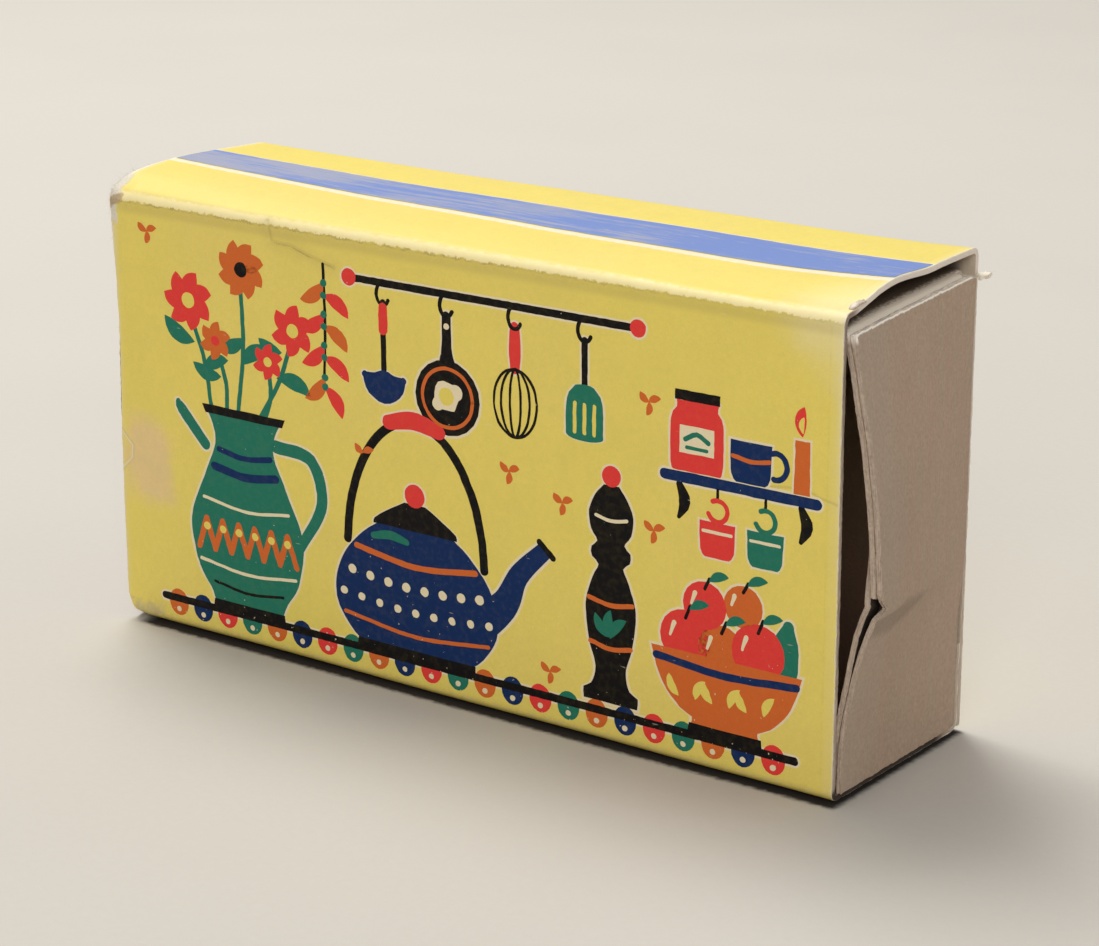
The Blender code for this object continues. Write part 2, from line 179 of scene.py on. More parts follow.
def waves(seed, shortest, longest, *places, count=14):
    """Even waviness between -1 and 1: a sum of sines of seeded direction, length and phase."""
    random = np.random.RandomState(seed)
    total = np.zeros(np.broadcast(*places).shape)
    for _ in range(count):
        direction = random.normal(size=len(places))
        direction /= np.linalg.norm(direction) + TINY
        wavelength = shortest * (longest / shortest) ** random.rand()
        path = sum(share * place for share, place in zip(direction, places))
        total = total + np.sin(2 * np.pi * (path / wavelength + random.rand()))
    return total / math.sqrt(2 * count)


def rippled(ripple, *places):
    """Waviness of a ripple's height and wavelengths."""
    return ripple.high * waves(ripple.seed, ripple.short, ripple.long, *places)


def unit(vectors):
    """Vectors of length one."""
    return vectors / np.maximum(np.linalg.norm(vectors, axis=-1, keepdims=True), TINY)


def bent_path(corners, radius, step):
    """Straight runs between the corners with a quarter circle of the radius at each inner corner.

    Returns the points, their run lengths, and the run length at which each inner corner lies.
    """
    corners = np.asarray(corners, float)
    ways = unit(np.diff(corners, axis=0))
    runs = []
    start = corners[0]
    for here, before, after in zip(corners[1:-1], ways[:-1], ways[1:]):
        runs.append(even_run(start, here - radius * before, step))
        angle = np.linspace(0, np.pi / 2, ARC_POINTS)[1:-1, None]
        centre = here + radius * (after - before)
        runs.append(centre - radius * after * np.cos(angle) + radius * before * np.sin(angle))
        start = here + radius * after
    runs.append(even_run(start, corners[-1], step))
    points = np.concatenate(runs)
    run = travelled(points)
    nearest = np.linalg.norm(points[None] - corners[1:-1, None], axis=2).argmin(axis=1)
    return points, run, run[nearest]


def even_run(start, end, step):
    """Points from start to end in equal steps of about the given length."""
    count = max(2, int(round(np.linalg.norm(end - start) / step)) + 1)
    return start + (end - start) * np.linspace(0, 1, count)[:, None]


def travelled(points):
    """Length along a row of points up to each of them."""
    steps = np.linalg.norm(np.diff(points, axis=0), axis=1)
    return np.concatenate([[0.0], np.cumsum(steps)])


def together(*arrays):
    """Arrays of numbers spread over one grid and joined into its points."""
    return np.stack(np.broadcast_arrays(*arrays), -1)


def grid_faces(rows, columns, first=0):
    """Corner numbers of the quads of a grid of rows by columns points."""
    number = np.arange(rows * columns).reshape(rows, columns) + first
    return np.stack([number[:-1, :-1], number[1:, :-1], number[1:, 1:], number[:-1, 1:]], -1).reshape(-1, 4)


def weld(patches):
    """Join grids into one sheet, merging the points that share a place.

    Each patch is (points, flat) with points (rows, columns, 3) and flat (rows, columns, 2).
    """
    points, faces, flats, first = [], [], [], 0
    for places, flat in patches:
        quads = grid_faces(*places.shape[:2], first)
        points.append(places.reshape(-1, 3))
        faces.append(quads)
        flats.append(flat.reshape(-1, 2)[quads - first])
        first += places.shape[0] * places.shape[1]
    points = np.concatenate(points)
    cells = np.round(points / WELD_GRID)
    _, kept, merged = np.unique(cells, axis=0, return_index=True, return_inverse=True)
    return points[kept], merged.reshape(-1)[np.concatenate(faces)], np.concatenate(flats)


def point_normals(points, faces):
    """Mean of the normals of the faces round each point, each from its two diagonals."""
    corner = points[faces]
    normal = np.cross(corner[:, 2] - corner[:, 0], corner[:, 3] - corner[:, 1])
    total = np.zeros_like(points)
    for side in range(4):
        np.add.at(total, faces[:, side], normal)
    return unit(total)


def directed_edges(faces):
    """The four directed edges of every quad, side by side."""
    return np.concatenate([faces[:, [side, (side + 1) % 4]] for side in range(4)])


def border_edges(faces):
    """Directed edges that only one face has."""
    edges = directed_edges(faces)
    span = faces.max() + 1
    forward = edges[:, 0] * span + edges[:, 1]
    backward = edges[:, 1] * span + edges[:, 0]
    return edges[~np.isin(forward, backward)]


class Board:
    """A sheet of board as a closed shell: outer face, inner face and a cut edge of several layers.

    The inner face lies one thickness behind the outer one, against the normal. Between them the
    border has rows of its own, each pushed outwards in the sheet's plane by its own waviness, so
    that the cut edge is ragged and its layers stand apart. layer runs from 0 at the outer face to
    1 at the inner one, and rim is the distance from the nearest cut edge.
    """

    def __init__(self, patches, thickness, ragged, seed, rim=None, rows=6):
        points, faces, flat = weld(patches)
        normals = point_normals(points, faces)
        border = border_edges(faces)
        on_border = np.unique(border)
        edge_ways, outward = self.edge_frame(points, normals, border, on_border)
        rooted, out, normal = points[on_border], outward[on_border], normals[on_border]
        self.rooted = (rooted, out, normal, edge_ways)
        rings = []
        for row in range(1, rows):
            share = row / rows
            ring = rooted - normal * thickness * share
            fray = (ragged * waves(seed + row, FRAY_SHORT, FRAY_LONG, *ring.T)
                    + ragged * MIDDLE_PLY * math.sin(math.pi * share))
            rings.append(ring + out * fray[:, None])
        fray_out = ragged * waves(seed, FRAY_SHORT, FRAY_LONG, *rooted.T)
        outer = points.copy()
        inner = points - normals * thickness
        outer[on_border] += out * fray_out[:, None]
        inner[on_border] += out * fray_out[:, None] * INNER_FRAY
        self.points = np.concatenate([outer, inner] + rings)
        self.layer = np.concatenate(
            [np.zeros(len(points)), np.ones(len(points))]
            + [np.full(len(on_border), row / rows) for row in range(1, rows)]
        )
        strips, strip_flats = self.edge_strips(len(points), faces, flat, border, on_border, rows)
        self.faces = np.concatenate([faces, faces[:, ::-1] + len(points)] + strips)
        self.flat = np.concatenate([flat, flat[:, ::-1]] + strip_flats)
        from_edge = np.zeros(len(points)) if rim is None else rim(points)
        self.rim = np.concatenate([from_edge, from_edge, np.zeros(len(self.points) - 2 * len(points))])

    @staticmethod
    def edge_frame(points, normals, border, on_border):
        """The way along the edge at each border point, and the way out of the sheet at every point."""
        along = np.zeros_like(points)
        for side in range(2):
            np.add.at(along, border[:, side], points[border[:, 1]] - points[border[:, 0]])
        edge_ways = unit(along[on_border])
        outward = np.zeros_like(points)
        outward[on_border] = unit(np.cross(edge_ways, normals[on_border]))
        return edge_ways, outward

    def edge_strips(self, count, faces, flat, border, on_border, rows):
        """The quads of the cut edge, row by row, and their flat coordinates."""
        place = np.full(count, -1)
        place[on_border] = np.arange(len(on_border))
        starts = [2 * count + row * len(on_border) for row in range(rows - 1)]
        levels = ([border] + [start + place[border] for start in starts] + [border + count])
        edge_flat = self.border_flat(faces, flat, border)[:, [1, 0, 0, 1]]
        strips = [np.stack([upper[:, 1], upper[:, 0], lower[:, 0], lower[:, 1]], -1)
                  for upper, lower in zip(levels, levels[1:])]
        return strips, [edge_flat] * rows

    @staticmethod
    def border_flat(faces, flat, border):
        """The flat coordinates of both ends of each border edge, taken from its face."""
        edges = directed_edges(faces)
        both = directed_edges(flat)
        span = faces.max() + 1
        key = edges[:, 0] * span + edges[:, 1]
        order = np.argsort(key)
        wanted = border[:, 0] * span + border[:, 1]
        found = order[np.searchsorted(key[order], wanted)]
        return both[found]

    def make(self, name, material):
        """Put the shell into a mesh object."""
        return make_piece(name, self.points, self.faces, material, flat=self.flat,
                          values={"layer": self.layer, "rim": self.rim})


def make_piece(name, points, faces, material, flat=None, values=None):
    """A mesh object at the origin from arrays of points and quads."""
    mesh = bpy.data.meshes.new(name)
    mesh.vertices.add(len(points))
    mesh.vertices.foreach_set("co", np.ascontiguousarray(points, np.float32).ravel())
    faces = np.ascontiguousarray(faces, np.int32)
    mesh.loops.add(faces.size)
    mesh.loops.foreach_set("vertex_index", faces.ravel())
    mesh.polygons.add(len(faces))
    mesh.polygons.foreach_set("loop_start", np.arange(len(faces), dtype=np.int32) * 4)
    if flat is not None:
        layer = mesh.uv_layers.new(name="flat")
        layer.uv.foreach_set("vector", np.ascontiguousarray(flat, np.float32).ravel())
    for key, value in (values or {}).items():
        attribute = mesh.attributes.new(key, "FLOAT", "POINT")
        attribute.data.foreach_set("value", np.ascontiguousarray(value, np.float32))
    mesh.update(calc_edges=True)
    mesh.validate()
    mesh.polygons.foreach_set("use_smooth", np.ones(len(mesh.polygons), bool))
    mesh.set_sharp_from_angle(angle=math.radians(CRISP))
    mesh.materials.append(material)
    piece = bpy.data.objects.new(name, mesh)
    bpy.context.scene.collection.objects.link(piece)
    return piece


# The worn box

SWELL_PEAK, SWELL_FADE = 0.18, 35 * MM
"""The top panel's swelling: share of the depth at which it is highest, and its reach along the box."""

TWIST_LINE, TWIST_START, TWIST_FADE = 0.35, 0.12, 12 * MM
"""The twist: share of the depth that it turns about, share where it has set in, and its reach."""

HUMP_WIDE, HUMP_FADE = 0.66, 15 * MM
"""The hump: share of the depth that it takes up, and its reach."""

GENTLE = Measures(seed=3, high=0.11 * MM, short=30 * MM, long=90 * MM)
RUBBED = Measures(seed=5, high=0.05 * MM, short=2 * MM, long=9 * MM, reach=1.3 * MM)
CRUMPLED = Measures(seed=7, high=0.22 * MM, short=1.6 * MM, long=5 * MM, reach=3.4 * MM)
"""Ripples of the sleeve: all over it, along its top fold, and at its left front corner."""

SPLAY_REACH = 12 * MM
WORN_EDGE = Measures(deep=0.35 * MM, level=44 * MM, half=11 * MM, behind=8 * MM, inward=4 * MM)
WORN_CORNER = Measures(reach=3.4 * MM, behind=3 * MM, sideways=1.25 * MM, upward=0.45 * MM)
"""The splayed corner, the worn left edge of the front panel, and the rounded corner below it."""

LEAN_FROM, LEAN_TO = 3 * MM, 14 * MM
FLARE, FLARE_HIGH = 0.3 * MM, 5 * MM
"""Heights above the glue flap between which the tray's back leans back, and the flare of its upper edge."""

FREE_EDGE = 1.2
BELOW_CREASE = 2.2
"""Powers of the bulge: from the end's fold to its free edge, and from the floor up to the crease."""

END_RIPPLE = Measures(seed=11, high=0.10 * MM, short=9 * MM, long=40 * MM)
RIDGE, RIDGE_HALF = 0.16 * MM, 0.9 * MM
BITE = Measures(deep=2.1 * MM, behind=6 * MM, above=0.1 * MM, half=1.15 * MM)
SLANT = Measures(deep=2.2 * MM, high=7 * MM, behind=6 * MM)
"""The buckled end's ripple and ridge, the hole at its crease and the slanted corner of its lower tab."""

BOARD_STEP, WALL_STEP, TURN_STEP = 0.5 * MM, 0.6 * MM, 0.55 * MM
"""Distances between points along the board's sections, the tray's long walls and the way round its ends."""


class Form:
    """Planes and worn shape of the box, worked out from its sizes."""

    def __init__(self, sizes):
        s = self.s = sizes
        self.left, self.right = -s.long / 2, s.long / 2
        self.front, self.back = -s.deep / 2, s.deep / 2
        self.bottom, self.top = s.stand_off, s.stand_off + s.tall
        self.flap_face = self.back - s.board - s.film
        self.tray_front = self.front + s.board + s.run
        self.tray_back = self.back - 2 * s.board - s.lap - s.run
        self.tray_bottom = self.bottom + s.board + s.run
        self.tray_tall = s.tall - 2 * s.board - s.run - s.tray_gap
        self.tray_top = self.tray_bottom + self.tray_tall
        self.tray_deep = self.tray_back - self.tray_front
        self.tab = (self.tray_tall + s.tab_lap) / 2
        self.crease = self.tray_bottom + self.tray_tall - self.tab - s.crease_drop

    def settle(self, points):
        """The worn set.

        y moves forward by lean times z over the height, and z is stretched behind and shrunk at the left.
        """
        s = self.s
        x, y, z = np.moveaxis(points, -1, 0)
        taller = 1 + s.back_rise / s.tall * (y / s.deep + 0.5)
        lower = 1 - s.left_drop / s.tall * (0.5 - x / s.long)
        return np.stack([x, y - s.lean * z / s.tall, z * taller * lower], -1)

    def top_rise(self, x, y):
        """Rise of the top panel: a skewed swelling that fades from the left, and a twist and a hump."""
        s = self.s
        across = np.clip(y / s.deep + 0.5, 0, 1)
        share = np.where(
            across < SWELL_PEAK,
            np.sin(np.pi / 2 * across / SWELL_PEAK),
            np.cos(np.pi / 2 * (across - SWELL_PEAK) / (1 - SWELL_PEAK)) ** 2,
        )
        swell = s.swell * share * np.exp((self.left - x) / SWELL_FADE)
        twist = (s.twist * (across - TWIST_LINE) * ease(across, 0.0, TWIST_START)
                 * np.exp((x - self.right) / TWIST_FADE))
        rounded = np.sin(np.pi * np.minimum(across / HUMP_WIDE, 1.0)) ** 2
        return swell + twist + s.hump * rounded * np.exp((x - self.right) / HUMP_FADE)

    def relief(self, points):
        """Slight waviness of the old board: long waves all over, short ones along the worn top fold."""
        x, y, z = np.moveaxis(points, -1, 0)
        from_fold = np.hypot(y - self.front, z - self.top)
        from_corner = np.hypot(from_fold, x - self.left)
        rubbed = rippled(RUBBED, x, y, z) * bell(from_fold, RUBBED.reach)
        crumple = rippled(CRUMPLED, x, y, z) * bell(from_corner, CRUMPLED.reach)
        return rippled(GENTLE, x, y, z) + rubbed + crumple

    def sleeve_place(self, points, normals, lift=0.0):
        """Where points of the straight sleeve's outer face lie on the worn one."""
        s = self.s
        points = points + normals * (self.relief(points) + lift)[..., None]
        x, y, z = np.moveaxis(points, -1, 0)
        bow = s.bow * (1 - (2 * y / s.deep) ** 2) * ease(z, self.top - s.sleeve_fold, self.top)
        z = z + bow + self.top_rise(x, y) * ease(z, self.bottom + s.tall / 2, self.top - s.sleeve_fold)
        from_corner = np.sqrt((x - self.left) ** 2 + (y - self.front) ** 2 + (z - self.top) ** 2)
        x = x - s.splay * np.clip(1 - from_corner / SPLAY_REACH, 0, 1)
        edge = WORN_EDGE
        worn = edge.deep * np.exp(-(((z - edge.level) / edge.half) ** 2) - (y - self.front) / edge.behind)
        x = x + worn * np.exp((self.left - x) / edge.inward)
        corner = WORN_CORNER
        gone = np.clip(1 - (x - self.left + z - self.bottom) / corner.reach, 0, 1)
        gone = gone * np.exp((self.front - y) / corner.behind)
        return self.settle(np.stack([x + corner.sideways * gone, y, z + corner.upward * gone], -1))

    def front_place(self, across, up, lift):
        """A point of the front panel, from its distance to the panel's left end and lower fold."""
        points = np.stack([self.left + across, np.full_like(across, self.front), self.bottom + up], -1)
        normals = np.zeros_like(points)
        normals[..., 1] = -1
        return self.sleeve_place(points, normals, lift)

    def tray_place(self, points):
        """Where points of the straight tray lie: its back leans on the back panel above the glue flap."""
        x, y, z = np.moveaxis(points, -1, 0)
        share = np.clip((y - self.tray_front) / self.tray_deep, 0, 1)
        flap = self.bottom + self.s.flap
        above = ease(z, flap + LEAN_FROM, flap + LEAN_TO)
        flare = FLARE * ease(z, self.tray_top - FLARE_HIGH, self.tray_top)
        return self.settle(np.stack([x, y + (self.s.slack * above + flare) * share, z], -1))

    def tray_end(self, side):
        """Place of an end wall's outer face before it bulged."""
        return side * self.s.long / 2 + self.s.out_right

    def shares(self, depth, level):
        """Shares of the way from an end's fold to its edge and from the floor up, and the crease's share."""
        forward = np.clip((self.tray_back - depth) / self.tray_deep, 0, 1)
        up = np.clip((level - self.tray_bottom) / self.tray_tall, 0, 1)
        return forward, up, (self.crease - self.tray_bottom) / self.tray_tall

    def bulge(self, depth, level, side):
        """How far an end stands out: a sine over the height, or a peak with a crease at the right."""
        s = self.s
        forward, up, crease = self.shares(depth, level)
        reach = forward ** FREE_EDGE
        ripple = rippled(END_RIPPLE, depth, level) * reach
        if side < 0:
            return s.bulge * reach * np.sin(np.pi * up) + ripple * np.sin(np.pi * up)
        above = np.sin(np.pi / 2 * (1 - up) / (1 - crease))
        below = (up / crease) ** BELOW_CREASE
        ridge = RIDGE * np.exp(-np.abs(up - crease) * self.tray_tall / RIDGE_HALF)
        return s.buckle * reach * np.where(up > crease, above, below) + (ripple + ridge) * reach

    def bite(self, depth, level):
        """Depth of the hole torn in the free edge at the crease: a bell over the height, fading behind it."""
        near_edge = np.clip(1 - (depth - self.tray_front) / BITE.behind, 0, 1)
        return BITE.deep * near_edge * bell(level - self.crease - BITE.above, BITE.half)

    def drop(self, depth, level, side):
        """How far the buckled end hangs down: a sine across it, greatest at the crease."""
        if side < 0:
            return 0.0 * depth * level
        forward, up, crease = self.shares(depth, level)
        near_crease = np.minimum((1 - up) / (1 - crease), up / crease)
        return self.s.sag * np.sin(np.pi * forward) * near_crease

    def end_place(self, out, depth, level, side):
        """Points of an end of the tray, hung down as its buckle does."""
        return together(out, depth, level - self.drop(depth, level, side))


def stations(start, end, count, crowd=0.8):
    """Places from start to end, closer together near both ends: t - crowd sin(2 pi t) / (2 pi)."""
    share = np.linspace(0, 1, count)
    return start + (end - start) * (share - crowd * np.sin(2 * np.pi * share) / (2 * np.pi))


def path_normals(points):
    """Left-hand normals of a row of points in a plane."""
    way = unit(np.gradient(points, axis=0))
    return np.stack([way[:, 1], -way[:, 0]], -1)


def facing(places, flat, centre):
    """Turn a grid round if its faces look at the centre."""
    normal = np.cross(np.diff(places, axis=0)[:, :-1], np.diff(places, axis=1)[:-1])
    if (normal * (places[:-1, :-1] - centre)).sum() < 0:
        return places[::-1], flat[::-1]
    return places, flat


# The sleeve's board and striking strips

SLEEVE_STATIONS = 84
SLEEVE_FRAY, SLEEVE_SEED = 0.07 * MM, 21
BACK_SHORT = 0.4 * MM
"""Stations along the sleeve, raggedness of its ends, and how far the back panel ends above the lower fold."""

STRIP = Measures(stations=110, crowd=0.6, columns=15, left=0.25 * MM, right=0.3 * MM, under=1.2 * MM,
                 near=0.25 * MM, far=0.15 * MM)
"""Points of a striking strip, what it leaves free at the ends, above and below, and along its two borders."""

DRIFT, DRIFT_FROM, DRIFT_TO = 1.2 * MM, -50 * MM, 38 * MM
"""How far the upper strip's near border drifts, and between which places."""

NEAR_FRAY = Measures(seed=31, high=0.07 * MM, short=0.8 * MM, long=7 * MM)
FAR_FRAY = Measures(seed=33, high=0.06 * MM, short=0.8 * MM, long=9 * MM)
COAT_LIFT, COAT_THICK, COAT_CLEAR = 0.045 * MM, 0.03 * MM, 0.1 * MM
"""Fraying of the strips' borders, lift and thickness of the upper coat, and room left above the lower one."""


def sleeve_path(form):
    """Section of the sleeve's outer face, from the glue flap's edge round to the back panel's lower edge."""
    corners = [
        (form.flap_face, form.bottom + form.s.flap),
        (form.flap_face, form.bottom),
        (form.front, form.bottom),
        (form.front, form.top),
        (form.back, form.top),
        (form.back, form.bottom + BACK_SHORT),
    ]
    return bent_path(corners, form.s.sleeve_fold, BOARD_STEP)


def sleeve_board(form, material):
    """The sleeve: its section carried along the box, worn out of true and given the board's thickness."""
    section, run, _ = sleeve_path(form)
    outward = path_normals(section)
    centre = np.array([0, 0, form.bottom + form.s.tall / 2])
    if ((section - centre[1:]) * outward).sum() < 0:
        outward = -outward
    x = stations(form.left, form.right, SLEEVE_STATIONS)
    places = np.empty((len(x), len(section), 3))
    places[..., 0] = x[:, None]
    places[..., 1:] = section
    normals = np.zeros_like(places)
    normals[..., 1:] = outward
    grid = facing(form.sleeve_place(places, normals), together(x[:, None], run), centre)
    board = Board([grid], form.s.board, SLEEVE_FRAY, SLEEVE_SEED,
                  rim=lambda p: np.minimum(p[:, 0] - form.left, form.right - p[:, 0]))
    return board.make("sleeve_board", material), board


def strip_grid(form, above):
    """The face of a striking strip: straight behind, with a front edge that wanders as the print did."""
    s = form.s
    x = stations(form.left + STRIP.left, form.right - STRIP.right, STRIP.stations, STRIP.crowd)
    if not above:
        x = x * (1 - STRIP.under / form.right)
    half = s.strip_wide / 2
    drift = DRIFT * (1 - ease(x, DRIFT_FROM, DRIFT_TO)) if above else 0 * x
    near = s.strip_off - half + STRIP.near + drift + rippled(NEAR_FRAY, x)
    far = s.strip_off + half - STRIP.far + rippled(FAR_FRAY, x)
    y = near[:, None] + (far - near)[:, None] * np.linspace(0, 1, STRIP.columns)
    places = together(x[:, None], y, form.top if above else form.bottom)
    normals = np.zeros_like(places)
    normals[..., 2] = 1 if above else -1
    return places, normals, together(x[:, None], y)


def top_strip(form, material):
    """The upper striking strip, a thin coat on the top panel."""
    places, normals, flat = strip_grid(form, True)
    face = form.sleeve_place(places, normals, COAT_LIFT)
    grid = facing(face, flat, np.array([0, 0, 0.0]))
    return Board([grid], COAT_THICK, 0.0, 0, rows=1).make("striking_strip_top", material)


def bottom_strip(form, material):
    """The lower striking strip, whose outer face is the plane that the box stands on."""
    places, _, flat = strip_grid(form, False)
    worn = form.settle(places)
    worn[..., 2] = 0.0
    grid = facing(worn, flat, np.array([0, 0, form.top]))
    coat = Board([grid], form.s.stand_off - COAT_CLEAR, 0.0, 0, rows=1)
    return coat.make("striking_strip_bottom", material)


# The tray's board

FLOOR_POINTS, FOLD_POINTS, TRAY_STATIONS = 131, 6, 48
TRAY_FRAY, TRAY_SEED = 0.11 * MM, 41
END_SHORT, TAB_SHORT = 0.4 * MM, 0.2 * MM
"""Points over the tray's floor, round its folds and along it, its raggedness, and lost ends of its board."""

GLUE = Measures(margin=2 * MM, short=1 * MM, columns=24, rows=30, seam_columns=60, seam_rows=10,
                sunk=0.2, thick=0.6)
"""Free border and points of the glue films, and their depth and thickness as shares of the film's space."""


def tray_profile(form):
    """Section of the tray's outer face across its walls and floor, with points at every cut.

    Returns the points (y, z), the run length, the floor's slice and each wall's slice.
    """
    s, fold = form.s, form.s.tray_fold
    cut = form.tray_back - s.notch
    wall = np.append(np.arange(form.tray_front, cut, WALL_STEP)[:-1], cut)
    low, high = form.tray_bottom + s.relief, form.tray_top - s.relief
    floor = np.linspace(high, low, FLOOR_POINTS)
    turn = np.linspace(0, np.pi / 2, FOLD_POINTS)
    behind, top = form.tray_back - fold, form.tray_top - fold
    upper = np.stack([behind + fold * np.sin(turn), top + fold * np.cos(turn)], -1)
    lower = np.stack([upper[::-1, 0], form.tray_bottom + form.tray_top - upper[::-1, 1]], -1)
    points = np.concatenate([
        np.stack([wall, np.full(len(wall), form.tray_top)], -1),
        upper,
        np.stack([np.full(len(floor), form.tray_back), floor], -1),
        lower,
        np.stack([wall[::-1], np.full(len(wall), form.tray_bottom)], -1),
    ])
    first = len(wall) + len(upper)
    slices = {
        "floor": slice(first, first + len(floor)),
        1: slice(0, len(wall)),
        -1: slice(len(points) - len(wall), len(points)),
    }
    return points, travelled(points), slices


def tray_patches(form):
    """The tray's sheet as grids that share their folds: the channel, two end walls and four corner tabs."""
    s = form.s
    section, run, slices = tray_profile(form)
    wall_end = {side: form.tray_end(side) - side * (s.board + s.lap + s.relief) for side in (-1, 1)}
    middle = form.tray_bottom + form.tray_tall / 2
    inside = np.array([0, form.tray_front, middle])
    x = stations(wall_end[-1], wall_end[1], TRAY_STATIONS)
    channel = np.empty((len(x), len(section), 3))
    channel[..., 0] = x[:, None]
    channel[..., 1:] = section
    grids = [facing(channel, together(x[:, None], np.minimum(run, run[-1] - run)), inside)]
    floor = section[slices["floor"], 1]
    wider = (form.tray_tall - END_SHORT) / (floor[0] - floor[-1])
    for side in (-1, 1):
        end = form.tray_end(side)
        corners = [(wall_end[side], form.tray_back), (end, form.tray_back), (end, form.tray_front)]
        path, gone, _ = bent_path(corners, s.tray_fold, TURN_STEP)
        depth = path[:, 1:]
        widen = 1 + (wider - 1) * np.clip((form.tray_back - depth) / s.shoulder, 0, 1)
        level = middle + (floor - middle) * widen
        if side > 0:
            depth = depth + form.bite(depth, level)
        out = path[:, :1] + side * form.bulge(depth, level, side)
        edge = np.minimum((gone[-1] - gone)[:, None], form.tray_tall / 2 - np.abs(level - middle))
        grids.append(facing(form.end_place(out, depth, level, side), together(level, edge), inside))
        for end in (-1, 1):
            grids.append(tab_grid(form, section[slices[end]], wall_end[side], side, end, inside))
    return grids


def tab_grid(form, wall, wall_end, side, end, inside):
    """One corner tab: from the end of a long wall round its fold and along the inside of the end wall."""
    s = form.s
    face = form.tray_end(side) - side * (s.board + s.film)
    level = form.tray_top if end > 0 else form.tray_bottom
    corners = [(wall_end, level), (face, level), (face, level - end * form.tab)]
    path, gone, _ = bent_path(corners, s.tray_fold, BOARD_STEP)
    height = path[:, 1:]
    depth = wall[:, 0]
    left_over = (gone[-1] - gone)[:, None]
    if end < 0 < side:
        slant = SLANT.deep * np.clip(1 - left_over / SLANT.high, 0, 1)
        depth = depth + slant * np.clip(1 - (depth - form.tray_front) / SLANT.behind, 0, 1)
    overlap = form.tray_tall - form.tab - TAB_SHORT
    tuck = (s.board + s.film) * ease(height - form.tray_bottom, s.loose, overlap) if end < 0 else 0.0
    out = path[:, :1] + side * (form.bulge(depth, height, side) - tuck)
    edge = np.minimum(left_over, depth - form.tray_front)
    return facing(form.end_place(out, depth, height, side), together(height, edge), inside)


def tray_board(form, material):
    """The tray: its welded sheet, worn out of true and given the board's thickness."""
    grids = [(form.tray_place(places), flat) for places, flat in tray_patches(form)]
    board = Board(grids, form.s.board, TRAY_FRAY, TRAY_SEED)
    return board.make("tray_board", material), board


def glue_films(form, material):
    """The dried glue in the four tab laps and in the sleeve's seam, as thin sheets between the boards."""
    s, free = form.s, GLUE.margin
    middle = np.array([0.0, 0.0, form.top / 2])
    made = {}

    def film(node, name, face, flat):
        """One film, a thin closed sheet behind its outer face."""
        sheet = Board([facing(face, flat, middle)], GLUE.thick * s.film, 0.0, 0, rows=1)
        made[node] = sheet.make(name, material)

    depth = np.linspace(form.tray_front + free, form.tray_back - s.notch - free, GLUE.columns)
    spans = {
        "upper": (form.tray_top - form.tab + free, form.tray_top - free),
        "lower": (form.tray_bottom + free, form.tray_bottom + s.loose - GLUE.short),
    }
    for side, place in ((-1, "left"), (1, "right")):
        for which, (low, high) in spans.items():
            level = np.linspace(low, high, GLUE.rows)[:, None]
            out = form.tray_end(side) + side * (form.bulge(depth, level, side) - s.board - GLUE.sunk * s.film)
            places = form.tray_place(form.end_place(out, depth, level, side))
            name = f"tab_glue_{which}_{place}"
            film(name, name + "_film", places, places[..., 1:])
    x = np.linspace(form.left + free, form.right - free, GLUE.seam_columns)[:, None]
    z = np.linspace(form.bottom + free, form.bottom + s.flap - GLUE.short, GLUE.seam_rows)
    points = together(x, form.back, z).astype(float)
    normals = np.zeros_like(points)
    normals[..., 1] = 1
    face = form.sleeve_place(points, normals, -s.board - GLUE.sunk * s.film)
    film("sleeve_seam_glue", "seam_glue_film", face, points[..., [0, 2]])
    return made


# Loose fibres

FIBRE_STEPS, FIBRE_SIDES = 6, 4
FIBRE_WAY = Measures(outward=0.5, tilt=0.7, slew=0.8, curl=0.9, bend=0.5, roll=0.3)
FIBRE_SIZE = Measures(least=0.25, spread=0.75, tip=1.05, thinnest=0.6, thicker=0.8, flat=0.5)
FIBRE_ROOT = Measures(deep=0.1, aside=0.15, sunk=0.05)
"""Shares that set a fibre's way and size, and the place of its root in millimetres."""


